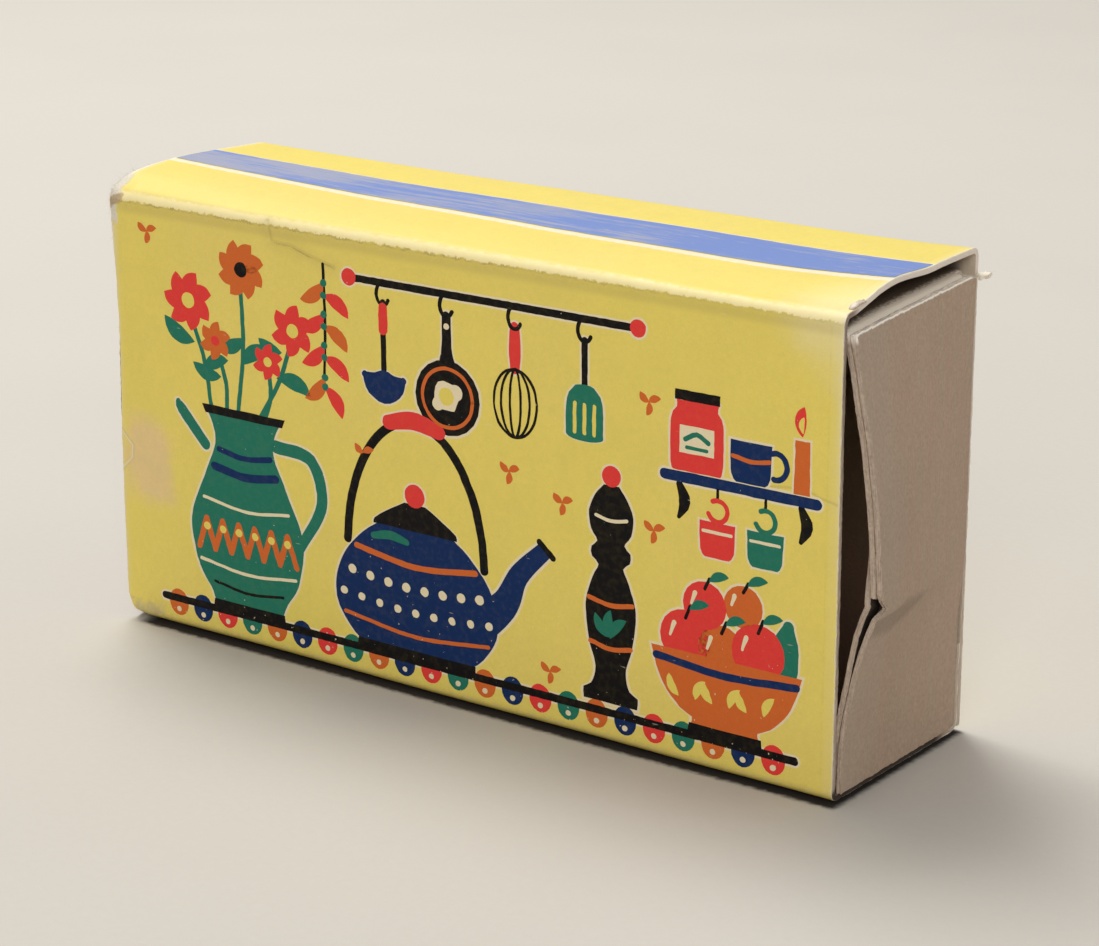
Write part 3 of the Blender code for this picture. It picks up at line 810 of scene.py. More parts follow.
def fibres(name, rooted, chosen, hair, material):
    """Loose paper fibres: four-sided tapering tubes along root + length (t way + t^2 curl).

    rooted holds points, outward ways, normals and edge ways; chosen are the roots that are used.
    """
    random = np.random.RandomState(hair.seed)
    points, outward, normals, along = (part[chosen] for part in rooted)
    count = len(points)
    roll = random.normal(size=(count, 3))
    to, size_of, at = FIBRE_WAY, FIBRE_SIZE, FIBRE_ROOT
    way = unit(outward * (to.outward + random.rand(count, 1)) + to.tilt * roll[:, :1] * normals
               + to.slew * roll[:, 1:2] * along)
    curl = to.curl * random.normal(size=(count, 3))
    size = hair.long * (size_of.least + size_of.spread * random.rand(count, 1) ** 2)
    share = np.linspace(0, 1, FIBRE_STEPS)[:, None, None]
    root = (points - normals * at.deep * MM * random.rand(count, 1)
            + along * at.aside * MM * random.normal(size=(count, 1)))
    line = root + size * (share * way + share**2 * curl * to.bend) - outward * at.sunk * MM
    tangent = unit(np.gradient(line, axis=0))
    first = unit(np.cross(tangent, unit(along + to.roll * roll)))
    second = np.cross(tangent, first)
    radius = hair.thick * (size_of.tip - share) * (size_of.thinnest + size_of.thicker * random.rand(count, 1))
    wide, narrow = radius * first, size_of.flat * radius * second
    ring = np.stack([line + wide, line + narrow, line - wide, line - narrow], 2)
    places = ring.transpose(1, 0, 2, 3).reshape(-1, 3)
    side = np.arange(FIBRE_SIDES)
    start = np.arange(FIBRE_STEPS - 1)[:, None] * FIBRE_SIDES
    row, following = start + side, start + (side + 1) % FIBRE_SIDES
    one = np.stack([row, following, following + FIBRE_SIDES, row + FIBRE_SIDES], -1).reshape(-1, 4)
    caps = np.array([side[::-1], side + (FIBRE_STEPS - 1) * FIBRE_SIDES])
    one = np.concatenate([one, caps])
    faces = (one[None] + np.arange(count)[:, None, None] * FIBRE_STEPS * FIBRE_SIDES).reshape(-1, 4)
    return make_piece(name, places, faces, material)


# Materials

NOISE_MEAN = 0.5
ASIDE = 0.37
FIRST_COLOUR, SECOND_COLOUR, MIXED_COLOUR = 6, 7, 2
"""Mean of a noise, share of its shift along z, and the colour sockets of a Mix node."""


def worked_out(operation, swapped=False):
    """A method that adds one Math node on a value and another number."""
    def method(value, other):
        numbers = (other, value) if swapped else (value, other)
        return value.math(operation, *numbers)
    return method


class Value:
    """A number on a socket: an expression on values adds the Math nodes that work it out."""

    def __init__(self, finish, socket):
        self.finish, self.socket = finish, socket

    def math(self, operation, *numbers):
        """One Math node on the given numbers."""
        return self.finish.node("ShaderNodeMath", {"operation": operation}, dict(enumerate(numbers)))

    def __abs__(self):
        return self.math("ABSOLUTE", self)

    def swing(self):
        """How far a noise is from its mean."""
        return self - NOISE_MEAN

    __add__ = __radd__ = worked_out("ADD")
    __sub__, __rsub__ = worked_out("SUBTRACT"), worked_out("SUBTRACT", swapped=True)
    __mul__ = __rmul__ = worked_out("MULTIPLY")
    __truediv__, __rtruediv__ = worked_out("DIVIDE"), worked_out("DIVIDE", swapped=True)
    __pow__, __rpow__ = worked_out("POWER"), worked_out("POWER", swapped=True)
    least, most = worked_out("MINIMUM"), worked_out("MAXIMUM")


def most_of(*values):
    """The greatest of several values."""
    return reduce(Value.most, values)


class Finish:
    """A material in the making: a Principled shader and the nodes that feed it. Places are in millimetres."""

    def __init__(self, name):
        self.material = bpy.data.materials.new(name)
        self.material.use_nodes = True
        self.tree = self.material.node_tree
        self.shader = self.tree.nodes["Principled BSDF"]
        self.spot = self.scaled(self.node("ShaderNodeTexCoord", output="Object"), (1 / MM,) * 3)

    def node(self, kind, settings=None, inputs=None, output=0):
        """Add a node: its settings first, then the values or links of its sockets."""
        node = self.tree.nodes.new(kind)
        for key, value in (settings or {}).items():
            setattr(node, key, value)
        for key, value in (inputs or {}).items():
            self.feed(node.inputs[key], value)
        return Value(self, node.outputs[output])

    def feed(self, socket, value):
        """Give a socket a link, a number, a vector or a colour."""
        if isinstance(value, Value):
            self.tree.links.new(value.socket, socket)
        elif socket.type == "RGBA":
            socket.default_value = (*tuple(value)[:3], 1.0)
        else:
            socket.default_value = value

    def scaled(self, vector, scales):
        """A vector with each of its parts multiplied."""
        return self.node("ShaderNodeVectorMath", {"operation": "MULTIPLY"}, {0: vector, 1: scales})

    def parts(self, vector):
        """The three numbers of a vector."""
        split = self.node("ShaderNodeSeparateXYZ", None, {0: vector}).socket.node
        return [Value(self, output) for output in split.outputs]

    def joined(self, *numbers):
        """A vector from three numbers."""
        return self.node("ShaderNodeCombineXYZ", None, dict(enumerate(numbers)))

    def attribute(self, name):
        """A number kept at the points of the mesh."""
        return self.node("ShaderNodeAttribute", {"attribute_name": name}, output="Fac")

    def flat(self):
        """The two flat coordinates of the board, in millimetres."""
        board_place = self.node("ShaderNodeUVMap", {"uv_map": "flat"})
        return self.parts(self.scaled(board_place, (1 / MM, 1 / MM, 1)))[:2]

    def noise(self, size, detail=2.0, stretch=(1, 1, 1), shift=0.0, place=None):
        """Soft noise between 0 and 1 with features of about the given size in millimetres."""
        scales = tuple(1 / (size * part) for part in stretch)
        at = self.scaled(place or self.spot, scales)
        shifted = {0: at, 1: (shift, -shift, ASIDE * shift)}
        moved = self.node("ShaderNodeVectorMath", {"operation": "ADD"}, shifted)
        return self.node("ShaderNodeTexNoise", None, {"Vector": moved, "Scale": 1.0, "Detail": detail})

    def rise(self, value, start, end):
        """Smooth step from 0 at start to 1 at end."""
        limits = {0: value, 1: start, 2: end}
        return self.node("ShaderNodeMapRange", {"interpolation_type": "SMOOTHSTEP"}, limits)

    def fall(self, value, start, end):
        """Smooth step from 1 at start to 0 at end."""
        return 1 - self.rise(value, start, end)

    def band(self, value, start, end, soft):
        """1 between start and end, with soft limits."""
        return self.rise(value, start - soft, start + soft) * self.fall(value, end - soft, end + soft)

    def mix(self, share, first, second):
        """A colour that goes from the first to the second as share goes from 0 to 1."""
        inputs = {0: share, FIRST_COLOUR: first, SECOND_COLOUR: second}
        return self.node("ShaderNodeMix", {"data_type": "RGBA"}, inputs, MIXED_COLOUR)

    def shaded(self, colour, factor):
        """A colour made darker or lighter by a factor."""
        inputs = {0: 1.0, FIRST_COLOUR: colour, SECOND_COLOUR: self.joined(factor, factor, factor)}
        settings = {"data_type": "RGBA", "blend_type": "MULTIPLY"}
        return self.node("ShaderNodeMix", settings, inputs, MIXED_COLOUR)

    def from_point(self, place, point):
        """Distance of a place from a point."""
        (x, y, z), (left, front, low) = place, point
        return ((x - left) ** 2 + (y - front) ** 2 + (z - low) ** 2) ** 0.5

    def from_line(self, across, up, start, end):
        """Distance of the place (across, up) from the straight line between two points."""
        along, rise = end[0] - start[0], end[1] - start[1]
        off, above = across - start[0], up - start[1]
        share = ((off * along + above * rise) / (along**2 + rise**2)).most(0.0).least(1.0)
        return ((off - share * along) ** 2 + (above - share * rise) ** 2) ** 0.5

    def nearest_line(self, across, up, corners):
        """Distance from the nearest part of a row of straight lines."""
        lines = (self.from_line(across, up, start, end) for start, end in zip(corners, corners[1:]))
        return reduce(Value.least, lines)

    def done(self, colour, roughness, relief, specular):
        """Feed the shader: relief is the height of the surface in millimetres."""
        self.feed(self.shader.inputs["Base Color"], colour)
        self.feed(self.shader.inputs["Roughness"], roughness)
        self.shader.inputs["Specular IOR Level"].default_value = specular
        bump = self.node("ShaderNodeBump", None, {"Strength": 1.0, "Distance": MM, "Height": relief})
        self.feed(self.shader.inputs["Normal"], bump)
        return self.material


def kept_material(maker):
    """Keep the material that a function makes, so that each is made once."""
    made = {}

    def fetch(*given):
        if given not in made:
            made[given] = maker(*given)
        return made[given]
    return fetch


def settings():
    """The sizes and colours that the operators read."""
    return bpy.context.scene.matchbox_sizes, bpy.context.scene.matchbox_colours


# The sleeve's printed board

PANEL_EDGE = 0.3
WANDER = Measures(grain=0.9, fine=0.55, patches=(0.36, 0.60))
"""The front panel's lower border below its fold in millimetres, and the wander and patches of all wear."""

CREASE_LINE = [(29.2, 66.1), (30.0, 63.2), (33.5, 63.1), (37.1, 62.0), (41.2, 61.1)]
FAINT_LINE = [(111.8, 42.0), (117.1, 42.7), (119.3, 42.6), (120.9, 42.0), (123.4, 41.5)]
EAR_LINE = [(-0.5, 23.2), (1.9, 25.6), (2.1, 27.6), (-0.5, 30.2)]
SCUFF_LINE = [(1.4, 1.2), (5.6, 1.4)]
RIP_LINE = [(-0.2, 65.0), (1.7, 66.0)]
"""Marks of the front panel as rows of places in millimetres from its left end and its lower border."""

TONES = Measures(
    faded=(0.84, 0.615, 0.30), halo=(0.93, 0.85, 0.76), washed=(0.93, 0.86, 0.60), pale=(1.0, 0.87, 0.50),
    dull=(0.60, 0.46, 0.20), crevice=(0.030, 0.020, 0.013), rip=(0.50, 0.36, 0.19), dirty=(0.55, 0.47, 0.38),
    light_ply=(0.60, 0.50, 0.41), dark_core=(0.17, 0.11, 0.095), back_core=(0.70, 0.60, 0.52),
    top_core=(0.86, 0.77, 0.68), low_edge=(0.035, 0.024, 0.018),
    inside=(0.36, 0.265, 0.165), inside_light=(0.43, 0.335, 0.235), inside_back=(0.60, 0.50, 0.39),
)
"""Linear colours of the printed board beside those that a user can change."""


def board_noises(f):
    """The board's grain, its fine unevenness and its specks."""
    return (f.noise(size=0.9, detail=4.0, shift=3.0), f.noise(size=0.20, detail=3.0, shift=5.0),
            f.noise(size=0.10, shift=9.0))


def wear_noises(f):
    """Where the print flakes off, and where it is scratched lengthwise."""
    return (f.noise(size=0.55, shift=17.0),
            f.noise(size=0.30, detail=1.0, stretch=(9.0, 1.0, 1.4), shift=19.0))


def board_places(f, form):
    """Where a point of the sleeve's board lies, and the noises that its wear shares."""
    _, _, folds = sleeve_path(form)
    flap_fold, low_fold, high_fold, back_fold = folds / MM
    u, v = f.flat()
    x, y, z = f.parts(f.spot)
    grain, fine, speck = board_noises(f)
    return Measures(
        u=u, v=v, x=x, y=y, z=z,
        past=Measures(flap=v - flap_fold, low=v - low_fold, high=v - high_fold, back=v - back_fold),
        across=u - form.left / MM,
        up=v - (low_fold - PANEL_EDGE),
        down=v - (back_fold - PANEL_EDGE),
        layer=f.attribute("layer"),
        rim=f.attribute("rim") / MM,
        cloud=f.noise(size=22.0, detail=3.0),
        blot=f.noise(size=5.0, detail=4.0, shift=7.0),
        grain=grain, fine=fine, speck=speck,
        wander=grain.swing() * WANDER.grain + fine.swing() * WANDER.fine,
        patchy=f.rise(f.noise(size=1.6, detail=3.0, shift=13.0), *WANDER.patches),
    )


def fold_wear(f, at):
    """Wear of the folds: pale, brown and dull lines of the upper one and bare paper; and painted shade:
    darker print towards the lower fold and a near-black painted contact shade on its underside.
    """
    wander, patchy = at.wander, at.patchy
    high, low = at.past.high + wander, at.past.low
    brown = f.band(high, -1.00, -0.72, 0.12) * (0.25 + patchy * 0.45)
    # painted contact shade: the lower fold's underside mixed to near black
    beneath = f.fall(low + wander * 0.45, -0.70, -0.10)
    return Measures(
        high=high,
        pale=f.rise(high, -0.77, -0.59) * f.fall(high, 0.05, 0.95),
        brown=brown * (1 - f.rise(at.x, 5.0, 48.0) * 0.6),
        dull=f.band(high, 0.46, 0.80, 0.10) * (0.45 + patchy * 0.55),
        low=f.fall(abs(low - 0.75) + wander * 0.8, 0.05, 0.25) * patchy * 0.2,
        # painted shade, kept under the key soil: the print darkens towards the lower fold where it nears the
        # floor
        soil=f.fall(low + wander * 0.8, 0.1, 1.5) * 0.42,
        beneath=beneath * f.rise(low + wander * 0.25, -2.9, -2.0),
        back=f.fall(abs(at.past.back) + wander * 0.9, 0.25, 0.5) * patchy,
        flap=f.fall(abs(at.past.flap) + wander * 0.9, 0.2, 0.5) * patchy,
    )


def end_wear(f, at):
    """Bare and pale borders of the sleeve's cut ends."""
    rim, wander = at.rim, at.wander
    bare = f.fall(rim + wander * 0.5, 0.04, 0.20) * (1 - f.rise(at.y, -15.5, -17.0) * 0.4)
    pale = f.fall(rim + wander * 1.2, 0.2, 1.2) * (0.12 + f.rise(at.z, 24.0, 50.0) * 0.13)
    far = f.fall(rim + wander * 0.8, 1.0, 1.9) * f.rise(at.x, 40.0, 50.0) * 0.09
    return bare, pale.most(far)


def dents(f, at):
    """Creases with painted shade along and around them, the small ear, the scuff and the specks of the front
    panel.
    """
    patchy = at.patchy
    crease = f.nearest_line(at.across, at.up, CREASE_LINE)
    faint = f.nearest_line(at.across, at.up, FAINT_LINE)
    ear = f.nearest_line(at.across, at.up, EAR_LINE)
    ragged = at.fine.swing() * 0.22
    # painted shade along the creases
    dented = f.fall(crease + ragged * 1.6, 0.04, 0.24) * (0.30 + patchy * 0.45)
    dented = dented * f.rise(at.across, 28.6, 32.0)
    scuffed = f.from_line(at.across, at.up, *SCUFF_LINE) + at.grain.swing() * 3.4
    scuffs, scratches = wear_noises(f)
    return Measures(
        crease=crease, faint=faint, ear=ear,
        cracked=f.fall(ear + ragged, 0.05, 0.2) * 0.6,
        dented=dented.most(f.fall(faint + ragged, 0.04, 0.30) * 0.35),
        edge_line=f.fall(abs(at.across - 122.0) + ragged, 0.04, 0.26) * patchy * 0.08,
        # painted shade around the crease
        shade=f.fall(crease + at.blot.swing() * 1.6, 0.2, 2.2) * 0.16,
        scuff=f.fall(scuffed, 0.2, 1.9) * 0.26,
        scuff_soil=f.fall(scuffed, 0.1, 2.4) * (0.38 + patchy * 0.25),
        stain=f.rise(at.blot, 0.66, 0.80) * 0.14,
        rubbed=f.rise(scuffs + at.cloud.swing() * 0.2, 0.735, 0.79) * 0.35,
        scratch=f.rise(scratches, 0.775, 0.83) * 0.25,
    )


def torn_corner(f, at, form):
    """The torn upper left front corner and the short rip beside it."""
    s = form.s
    point = (form.left / MM, (form.front - s.lean) / MM, (form.top - s.left_drop) / MM)
    corner = f.from_point((at.x, at.y, at.z), point)
    torn = f.fall(corner + at.grain.swing() * 4.0, 3.4, 5.2) * f.fall(at.rim + at.wander * 1.2, 0.55, 1.2)
    torn = torn.most(f.fall(corner + at.grain.swing() * 2.0, 0.9, 1.8))
    rip = f.from_line(at.across, at.up, *RIP_LINE)
    rip = rip + at.fine.swing() * 0.5 + at.grain.swing() * 0.8
    return torn, f.fall(rip, 0.45, 0.85)


def yellow_print(f, at, form, tint):
    """The yellow print: clouded, faded at the left, with a pale line on both sides of the striking coat."""
    colour = f.mix((at.cloud - 0.35) * 0.5, tint.yellow, tint.faded)
    wide = f.fall(abs(at.across - 5.2) + at.blot.swing() * 7.0, 2.0, 6.6)
    high = f.fall(abs(at.up - 25.4) + at.blot.swing() * 7.0, 3.6, 8.6)
    colour = f.mix(wide * high * 0.85, colour, TONES.faded)
    coat_edge = 4.60 - 1.2 * f.fall(at.u, -50.0, 38.0)
    beyond = at.down + form.back / MM
    near = f.band(beyond + at.wander * 0.35, -0.95 - coat_edge, 0.3 - coat_edge, 0.2)
    halo = near.most(f.band(beyond + at.wander * 0.35, 5.2, 6.5, 0.15))
    colour = f.mix(halo * (0.45 + at.grain * 0.45), colour, TONES.halo)
    tone = 0.90 + at.grain * 0.10 + at.fine.swing() * 0.16 + at.blot.swing() * 0.08
    colour = f.shaded(colour, tone)
    washed = f.from_point((at.x, at.y, at.z), (form.right / MM, form.front / MM, form.top / MM))
    washed = f.fall(washed + at.blot.swing() * 8.0, 2.0, 13.0) * 0.35
    return f.mix(washed, colour, TONES.washed)


def worn_face(f, at, form, tint, fold, dent, torn, ripped):
    """The board's printed face with all its wear and painted shade, and how bare it is."""
    end_bare, end_pale = end_wear(f, at)
    bare = most_of(fold.low, fold.back, fold.flap, end_bare, end_pale,
                   dent.cracked, dent.scuff, dent.rubbed, dent.scratch, torn)
    # soiled gathers real dirt and wear with painted shade along and around the creases and towards the lower
    # fold
    soiled = most_of(fold.brown, fold.soil.most(dent.scuff_soil), dent.dented, dent.edge_line, dent.shade,
                     dent.stain)
    dirt = f.rise(at.fine * 0.6 + at.grain * 0.4, 0.52, 0.64)
    paper = f.mix(dirt * 0.5, tint.paper, TONES.dirty)
    paper = f.shaded(paper, 0.86 + at.fine * 0.26)
    face = yellow_print(f, at, form, tint)
    face = f.mix(fold.pale * (0.60 + at.grain * 0.34), face, TONES.pale)
    face = f.mix(fold.dull * 0.20, face, TONES.dull)
    # painted shade: a soft darker band just below the upper fold
    face = f.mix(f.band(fold.high, -2.4, -0.9, 0.6) * 0.20, face, tint.soil)
    face = f.mix(bare, face, paper)
    face = f.mix(soiled * 0.66, face, tint.soil)
    # near-black painted contact shade on the lower fold's underside
    face = f.mix(fold.beneath * 0.75, face, TONES.crevice)
    face = f.mix(ripped * 0.85, face, f.shaded(TONES.rip, 0.7 + at.fine * 0.6))
    return face, bare


def cut_edge(f, at, tint):
    """The sleeve's cut ends: plies of grey board behind a white lining, with painted shade at the front and
    near the floor and painted light behind and at the top.
    """
    place = f.joined(at.layer * 7.0, at.u * 0.5 + at.x * 0.3, at.v * 0.5)
    plies = f.noise(size=1.0, detail=3.0, place=place)
    core = f.mix(f.rise(plies, 0.35, 0.65), tint.core, TONES.light_ply)
    # painted shade: the cut edge darker towards the front, most near the top
    front = f.rise(at.y, -14.0, -17.0) * (0.16 + f.rise(at.z, 50.0, 58.0) * 0.46)
    core = f.mix(front, core, TONES.dark_core)
    # painted light: the cut edge paler towards the back, most higher up
    back = f.rise(at.y, 13.0, 16.0) * (0.20 + f.rise(at.z, 24.0, 48.0) * 0.55)
    core = f.mix(back, core, TONES.back_core)
    core = f.shaded(core, 0.86 + at.speck * 0.28)
    # painted light: the cut edge paler along the top panel
    top = f.rise(at.z, 65.5, 67.0) * f.rise(at.y, -17.5, -15.0) * 0.85
    core = f.mix(top, core, TONES.top_core)
    lining = f.fall(at.layer + at.fine.swing() * 0.12, 0.17, 0.27)
    edge = f.mix(lining * (0.9 - f.rise(at.y, -15.5, -17.0) * 0.45), core, tint.paper)
    # painted shade: the cut edge nearly black near the floor, except at the back
    low = f.rise(at.z, 2.4, 1.5) * f.rise(at.y, 14.0, 10.0) * 0.93
    return f.mix(low, edge, TONES.low_edge), plies


def sleeve_inside(f, at):
    """The sleeve's unprinted inside, with painted shade deeper than about 2 to 4 mm in from its ends and
    painted light on its inside at the back.
    """
    inside = f.mix(f.rise(at.grain, 0.4, 0.62) * 0.4, TONES.inside, TONES.inside_light)
    # painted light: the inside paler at the back
    inside = f.mix(f.rise(at.y, 13.2, 15.0), inside, TONES.inside_back)
    # painted shade: the inside darkened deeper in from the ends
    lit_near_end = 1 - f.rise(abs(at.x) + at.wander * 0.6, 60.4, 58.0) * 0.68
    return f.shaded(inside, (0.84 + at.fine * 0.3) * lit_near_end)


@kept_material
def printed_board():
    """Yellow print on white-lined grey board, worn through along folds, rims and creases, with painted shade
    at the folds, creases, cut ends and inside, and painted light on parts of the cut ends and inside.
    """
    sizes, tint = settings()
    form = Form(sizes)
    f = Finish("printed_board_worn")
    at = board_places(f, form)
    fold, dent = fold_wear(f, at), dents(f, at)
    torn, ripped = torn_corner(f, at, form)
    face, bare = worn_face(f, at, form, tint, fold, dent, torn, ripped)
    edge, plies = cut_edge(f, at, tint)
    within = f.rise(at.layer, 0.93, 0.99)
    behind = f.mix(within, edge, sleeve_inside(f, at))
    colour = f.mix(f.rise(at.layer, 0.005, 0.06), face, behind)
    roughness = 0.50 + bare * 0.35 + at.layer.least(1.0) * 0.35
    roughness = (roughness + at.grain.swing() * 0.16).least(0.95)
    groove = f.rise(dent.crease, 0.0, 0.55) * 0.16 + f.rise(dent.faint, 0.0, 0.5) * 0.05
    groove = groove + f.rise(dent.ear, 0.0, 0.5) * 0.10
    relief = groove + torn * (at.fine + at.speck) * 0.14 + at.fine * 0.012 + at.speck * 0.008
    relief = relief + at.grain * 0.020 + at.blot * 0.05 - bare * 0.03 + plies * at.layer * 0.05
    return f.done(colour, roughness, relief, 0.32)


# The tray's grey board

TAB_CREASE = [(-19.0, 27.5), (-12.0, 26.3), (-6.0, 27.2), (-1.0, 28.2)]
"""Crease of the buckled end, as rows of y and z in millimetres."""

GREY_TONES = Measures(
    thread=(0.55, 0.43, 0.33), fibre=(0.30, 0.215, 0.15), front=(0.455, 0.365, 0.285),
    dark_ply=(0.385, 0.295, 0.225), light_ply=(0.50, 0.395, 0.31), top_edge=(0.95, 0.86, 0.74),
    upper=(0.98, 0.89, 0.75), frayed=(1.0, 0.95, 0.86), stain_low=(0.34, 0.16, 0.08),
    stain_high=(0.68, 0.44, 0.18), worn=(0.60, 0.50, 0.43),
)
# Linear colours of the grey board beside those that a user can change. Some are painted light on the top
# edges and the upper wall's end, and the inside browns carry painted shade.
"""Linear colours of the grey board beside those that a user can change."""


@kept_material
def grey_board():
    """Grey-brown recycled board with faint pink streaks, specks and loose plies at its cut edges, and painted
    light and shade on the top edges, at the right end and on the inside.
    """
    _, tint = settings()
    f = Finish("grey_board_rough")
    x, y, z = f.parts(f.spot)
    tone = GREY_TONES
    layer = f.attribute("layer")
    cloud = f.noise(size=14.0, detail=3.0)
    streak = f.noise(size=1.5, detail=3.0, stretch=(1.0, 1.0, 14.0), shift=2.0)
    thread = f.noise(size=0.35, stretch=(1.0, 1.0, 9.0), shift=4.0)
    fibre = f.noise(size=0.42, detail=3.0, stretch=(1.0, 1.0, 2.0), shift=6.0)
    speck = f.noise(size=0.13, shift=8.0)
    mottle = f.rise(f.noise(size=0.50, detail=3.0, shift=10.0), 0.30, 0.70)
    outer = f.fall(layer, 0.0, 0.02)
    colour = f.mix(f.rise(streak, 0.40, 0.66) * 0.6, tint.grey, tint.warm)
    colour = f.mix(f.rise(thread, 0.56, 0.72) * 0.30, colour, tone.thread)
    colour = f.mix(f.rise(fibre, 0.60, 0.74) * 0.30, colour, tone.fibre)
    colour = f.mix(f.fall(y + cloud.swing() * 8.0, -13.0, -7.0) * 0.45, colour, tone.front)
    colour = f.shaded(colour, 0.76 + speck * 0.22 + cloud * 0.14 + mottle * 0.12)
    plies = f.noise(size=1.0, detail=3.0, place=f.joined(layer * 8.0, z * 0.35, (x + y) * 0.35))
    edge = f.mix(f.rise(plies, 0.34, 0.62), tone.dark_ply, tone.light_ply)
    # partly the board's pale edge, partly painted light: the top cut edges raised to near white as if lit
    edge = f.mix(f.rise(z, 63.0, 64.1) * 0.8, edge, tone.top_edge)
    edge = f.shaded(edge, 0.80 + speck * 0.20 + mottle * 0.20)
    colour = upper_end(f, colour, (x, y, z), fibre, outer)
    colour = below_crease(f, colour, (x, y, z), outer)
    # the tray's inside: a warm brown with painted shade darker towards the bottom and painted light paler
    # towards the top
    inside_brown_with_shade = f.mix(f.rise(z, 14.0, 58.0), tone.stain_low, tone.stain_high)
    colour = f.mix(f.rise(layer, 0.97, 1.0) * 0.66, colour, inside_brown_with_shade)
    worn = f.rise(y, 14.6, 15.6) * f.rise(abs(x), 60.8, 62.0) * outer
    colour = f.mix(worn * 0.5, colour, tone.worn)
    cut = f.rise(layer, 0.01, 0.10) * f.fall(layer, 0.93, 1.0)
    colour = f.mix(cut, colour, edge)
    relief = fibre * 0.035 + thread * 0.03 + speck * 0.02 + streak * 0.03
    relief = relief + plies * cut * 0.10 + mottle * 0.02
    return f.done(colour, 0.84 + fibre.swing() * 0.2, relief, 0.22)


def upper_end(f, colour, place, fibre, outer):
    """The tray's upper wall near its right end: painted light on its end, painted shade behind that under the
    sleeve, and a frayed edge whose pale colour is partly painted light.
    """
    x, y, z = place
    _, inset = f.flat()
    lit_near_end = f.rise(x + fibre.swing() * 2.0, 58.8, 60.6) * f.fall(x, 62.0, 62.3)
    # painted light: the upper wall's outer face paler near the right end
    upper = f.rise(z, 62.4, 63.6) * lit_near_end * outer
    colour = f.mix(upper * 0.95, colour, GREY_TONES.upper)
    deeper = x + fibre.swing() * 1.8 - f.fall(y, -16.5, -9.0)
    # painted shade: the upper wall darker where it runs under the sleeve
    painted_gap_shade = f.rise(x, 44.0, 57.0) * f.fall(deeper, 58.8, 60.2) * f.rise(z, 62.4, 63.6)
    colour = f.shaded(colour, 1 - painted_gap_shade * outer * 0.64)
    # frayed pale top edge, partly real and partly painted light: its colour is raised to near white as if lit
    frayed = f.fall(inset + fibre.swing() * 0.35, 0.36, 0.56) * f.rise(z, 63.0, 63.9) * outer
    return f.mix(frayed, colour, GREY_TONES.frayed)


def below_crease(f, colour, place, outer):
    """The buckled end below its crease: a soft painted shade, and painted shade on the tab seen through the
    slit behind the end wall.
    """
    x, y, z = place
    crease = f.nearest_line(y, z, TAB_CREASE)
    # painted shade below the crease, where the end wall faces down
    below = f.band(crease + f.rise(z, 25.5, 28.0) * 4.0, -1.0, 2.6, 0.9)
    below = below * f.rise(x, 63.0, 65.0) * outer
    colour = f.shaded(colour, 1 - below * 0.22)
    share = ((z - 1.2) / 27.0).least(1.0).most(0.0)
    behind_wall = x - 62.7 - share ** 2.2 * 5.04
    # painted shade on the lower tab's outer face, seen through the hole at the crease
    painted_slit_shade = f.fall(behind_wall, -0.95, -0.65) * f.band(z, 17.0, 30.4, 0.8) * f.rise(x, 60.0, 61.0)
    painted_slit_shade = painted_slit_shade * f.fall(y, -13.6, -12.8) * outer
    return f.shaded(colour, 1 - painted_slit_shade * 0.88)


# Coats, glue, loose paper, inks and floor

@kept_material
def striking_coat():
    """Blue striking coat with lengthwise streaks, rubbed thin towards the left."""
    _, tint = settings()
    f = Finish("striking_coat_rubbed")
    x, _, _ = f.parts(f.spot)
    long_streak = f.noise(size=0.9, detail=3.0, stretch=(30.0, 1.0, 1.0))
    short_streak = f.noise(size=0.28, stretch=(10.0, 1.0, 1.0), shift=3.0)
    grit = f.noise(size=0.12, shift=5.0)
    blot = f.noise(size=6.0, detail=3.0, stretch=(2.5, 1.0, 1.0), shift=7.0)
    rubbed = long_streak * 0.5 + short_streak * 0.3 + blot * 0.35
    rubbed = rubbed - f.rise(x, 0.0, 45.0) * 0.10 + f.fall(x, -56.0, -25.0) * 0.10
    colour = f.mix(f.rise(rubbed, 0.49, 0.69), tint.striker, tint.rubbed)
    colour = f.mix(f.rise(short_streak, 0.64, 0.76) * 0.30, colour, (0.54, 0.53, 0.55))
    colour = f.shaded(colour, 0.86 + grit * 0.28)
    relief = grit * 0.03 + short_streak * 0.012
    return f.done(colour, 0.72 + grit.swing() * 0.2, relief, 0.3)


@kept_material
def dried_glue():
    """Dull amber glue, dried in ridges."""
    _, tint = settings()
    f = Finish("dried_glue_dull")
    ridges = f.noise(size=1.4, stretch=(1.0, 1.0, 5.0))
    bubbles = f.noise(size=0.3, shift=4.0)
    colour = f.mix(f.rise(bubbles, 0.45, 0.7) * 0.4, tint.glue, (0.62, 0.55, 0.42))
    colour = f.shaded(colour, 0.85 + ridges * 0.3)
    relief = ridges * 0.04 + bubbles * 0.02
    return f.done(colour, 0.45 + bubbles * 0.2, relief, 0.4)


@kept_material
def paper_fibre(soil):
    """Torn paper: white fluff with soiled parts."""
    _, tint = settings()
    f = Finish("torn_paper_" + ("soiled" if soil else "white"))
    patch = f.noise(size=1.2, detail=3.0)
    fluff = f.noise(size=0.15, shift=5.0)
    limits, share = ((0.20, 0.55), 0.9) if soil else ((0.45, 0.65), 0.35)
    colour = f.mix(f.rise(patch, *limits) * share, tint.paper, tint.core)
    colour = f.shaded(colour, 0.85 + fluff * 0.3)
    return f.done(colour, 0.9 + fluff.swing() * 0.1, fluff * 0.03, 0.2)


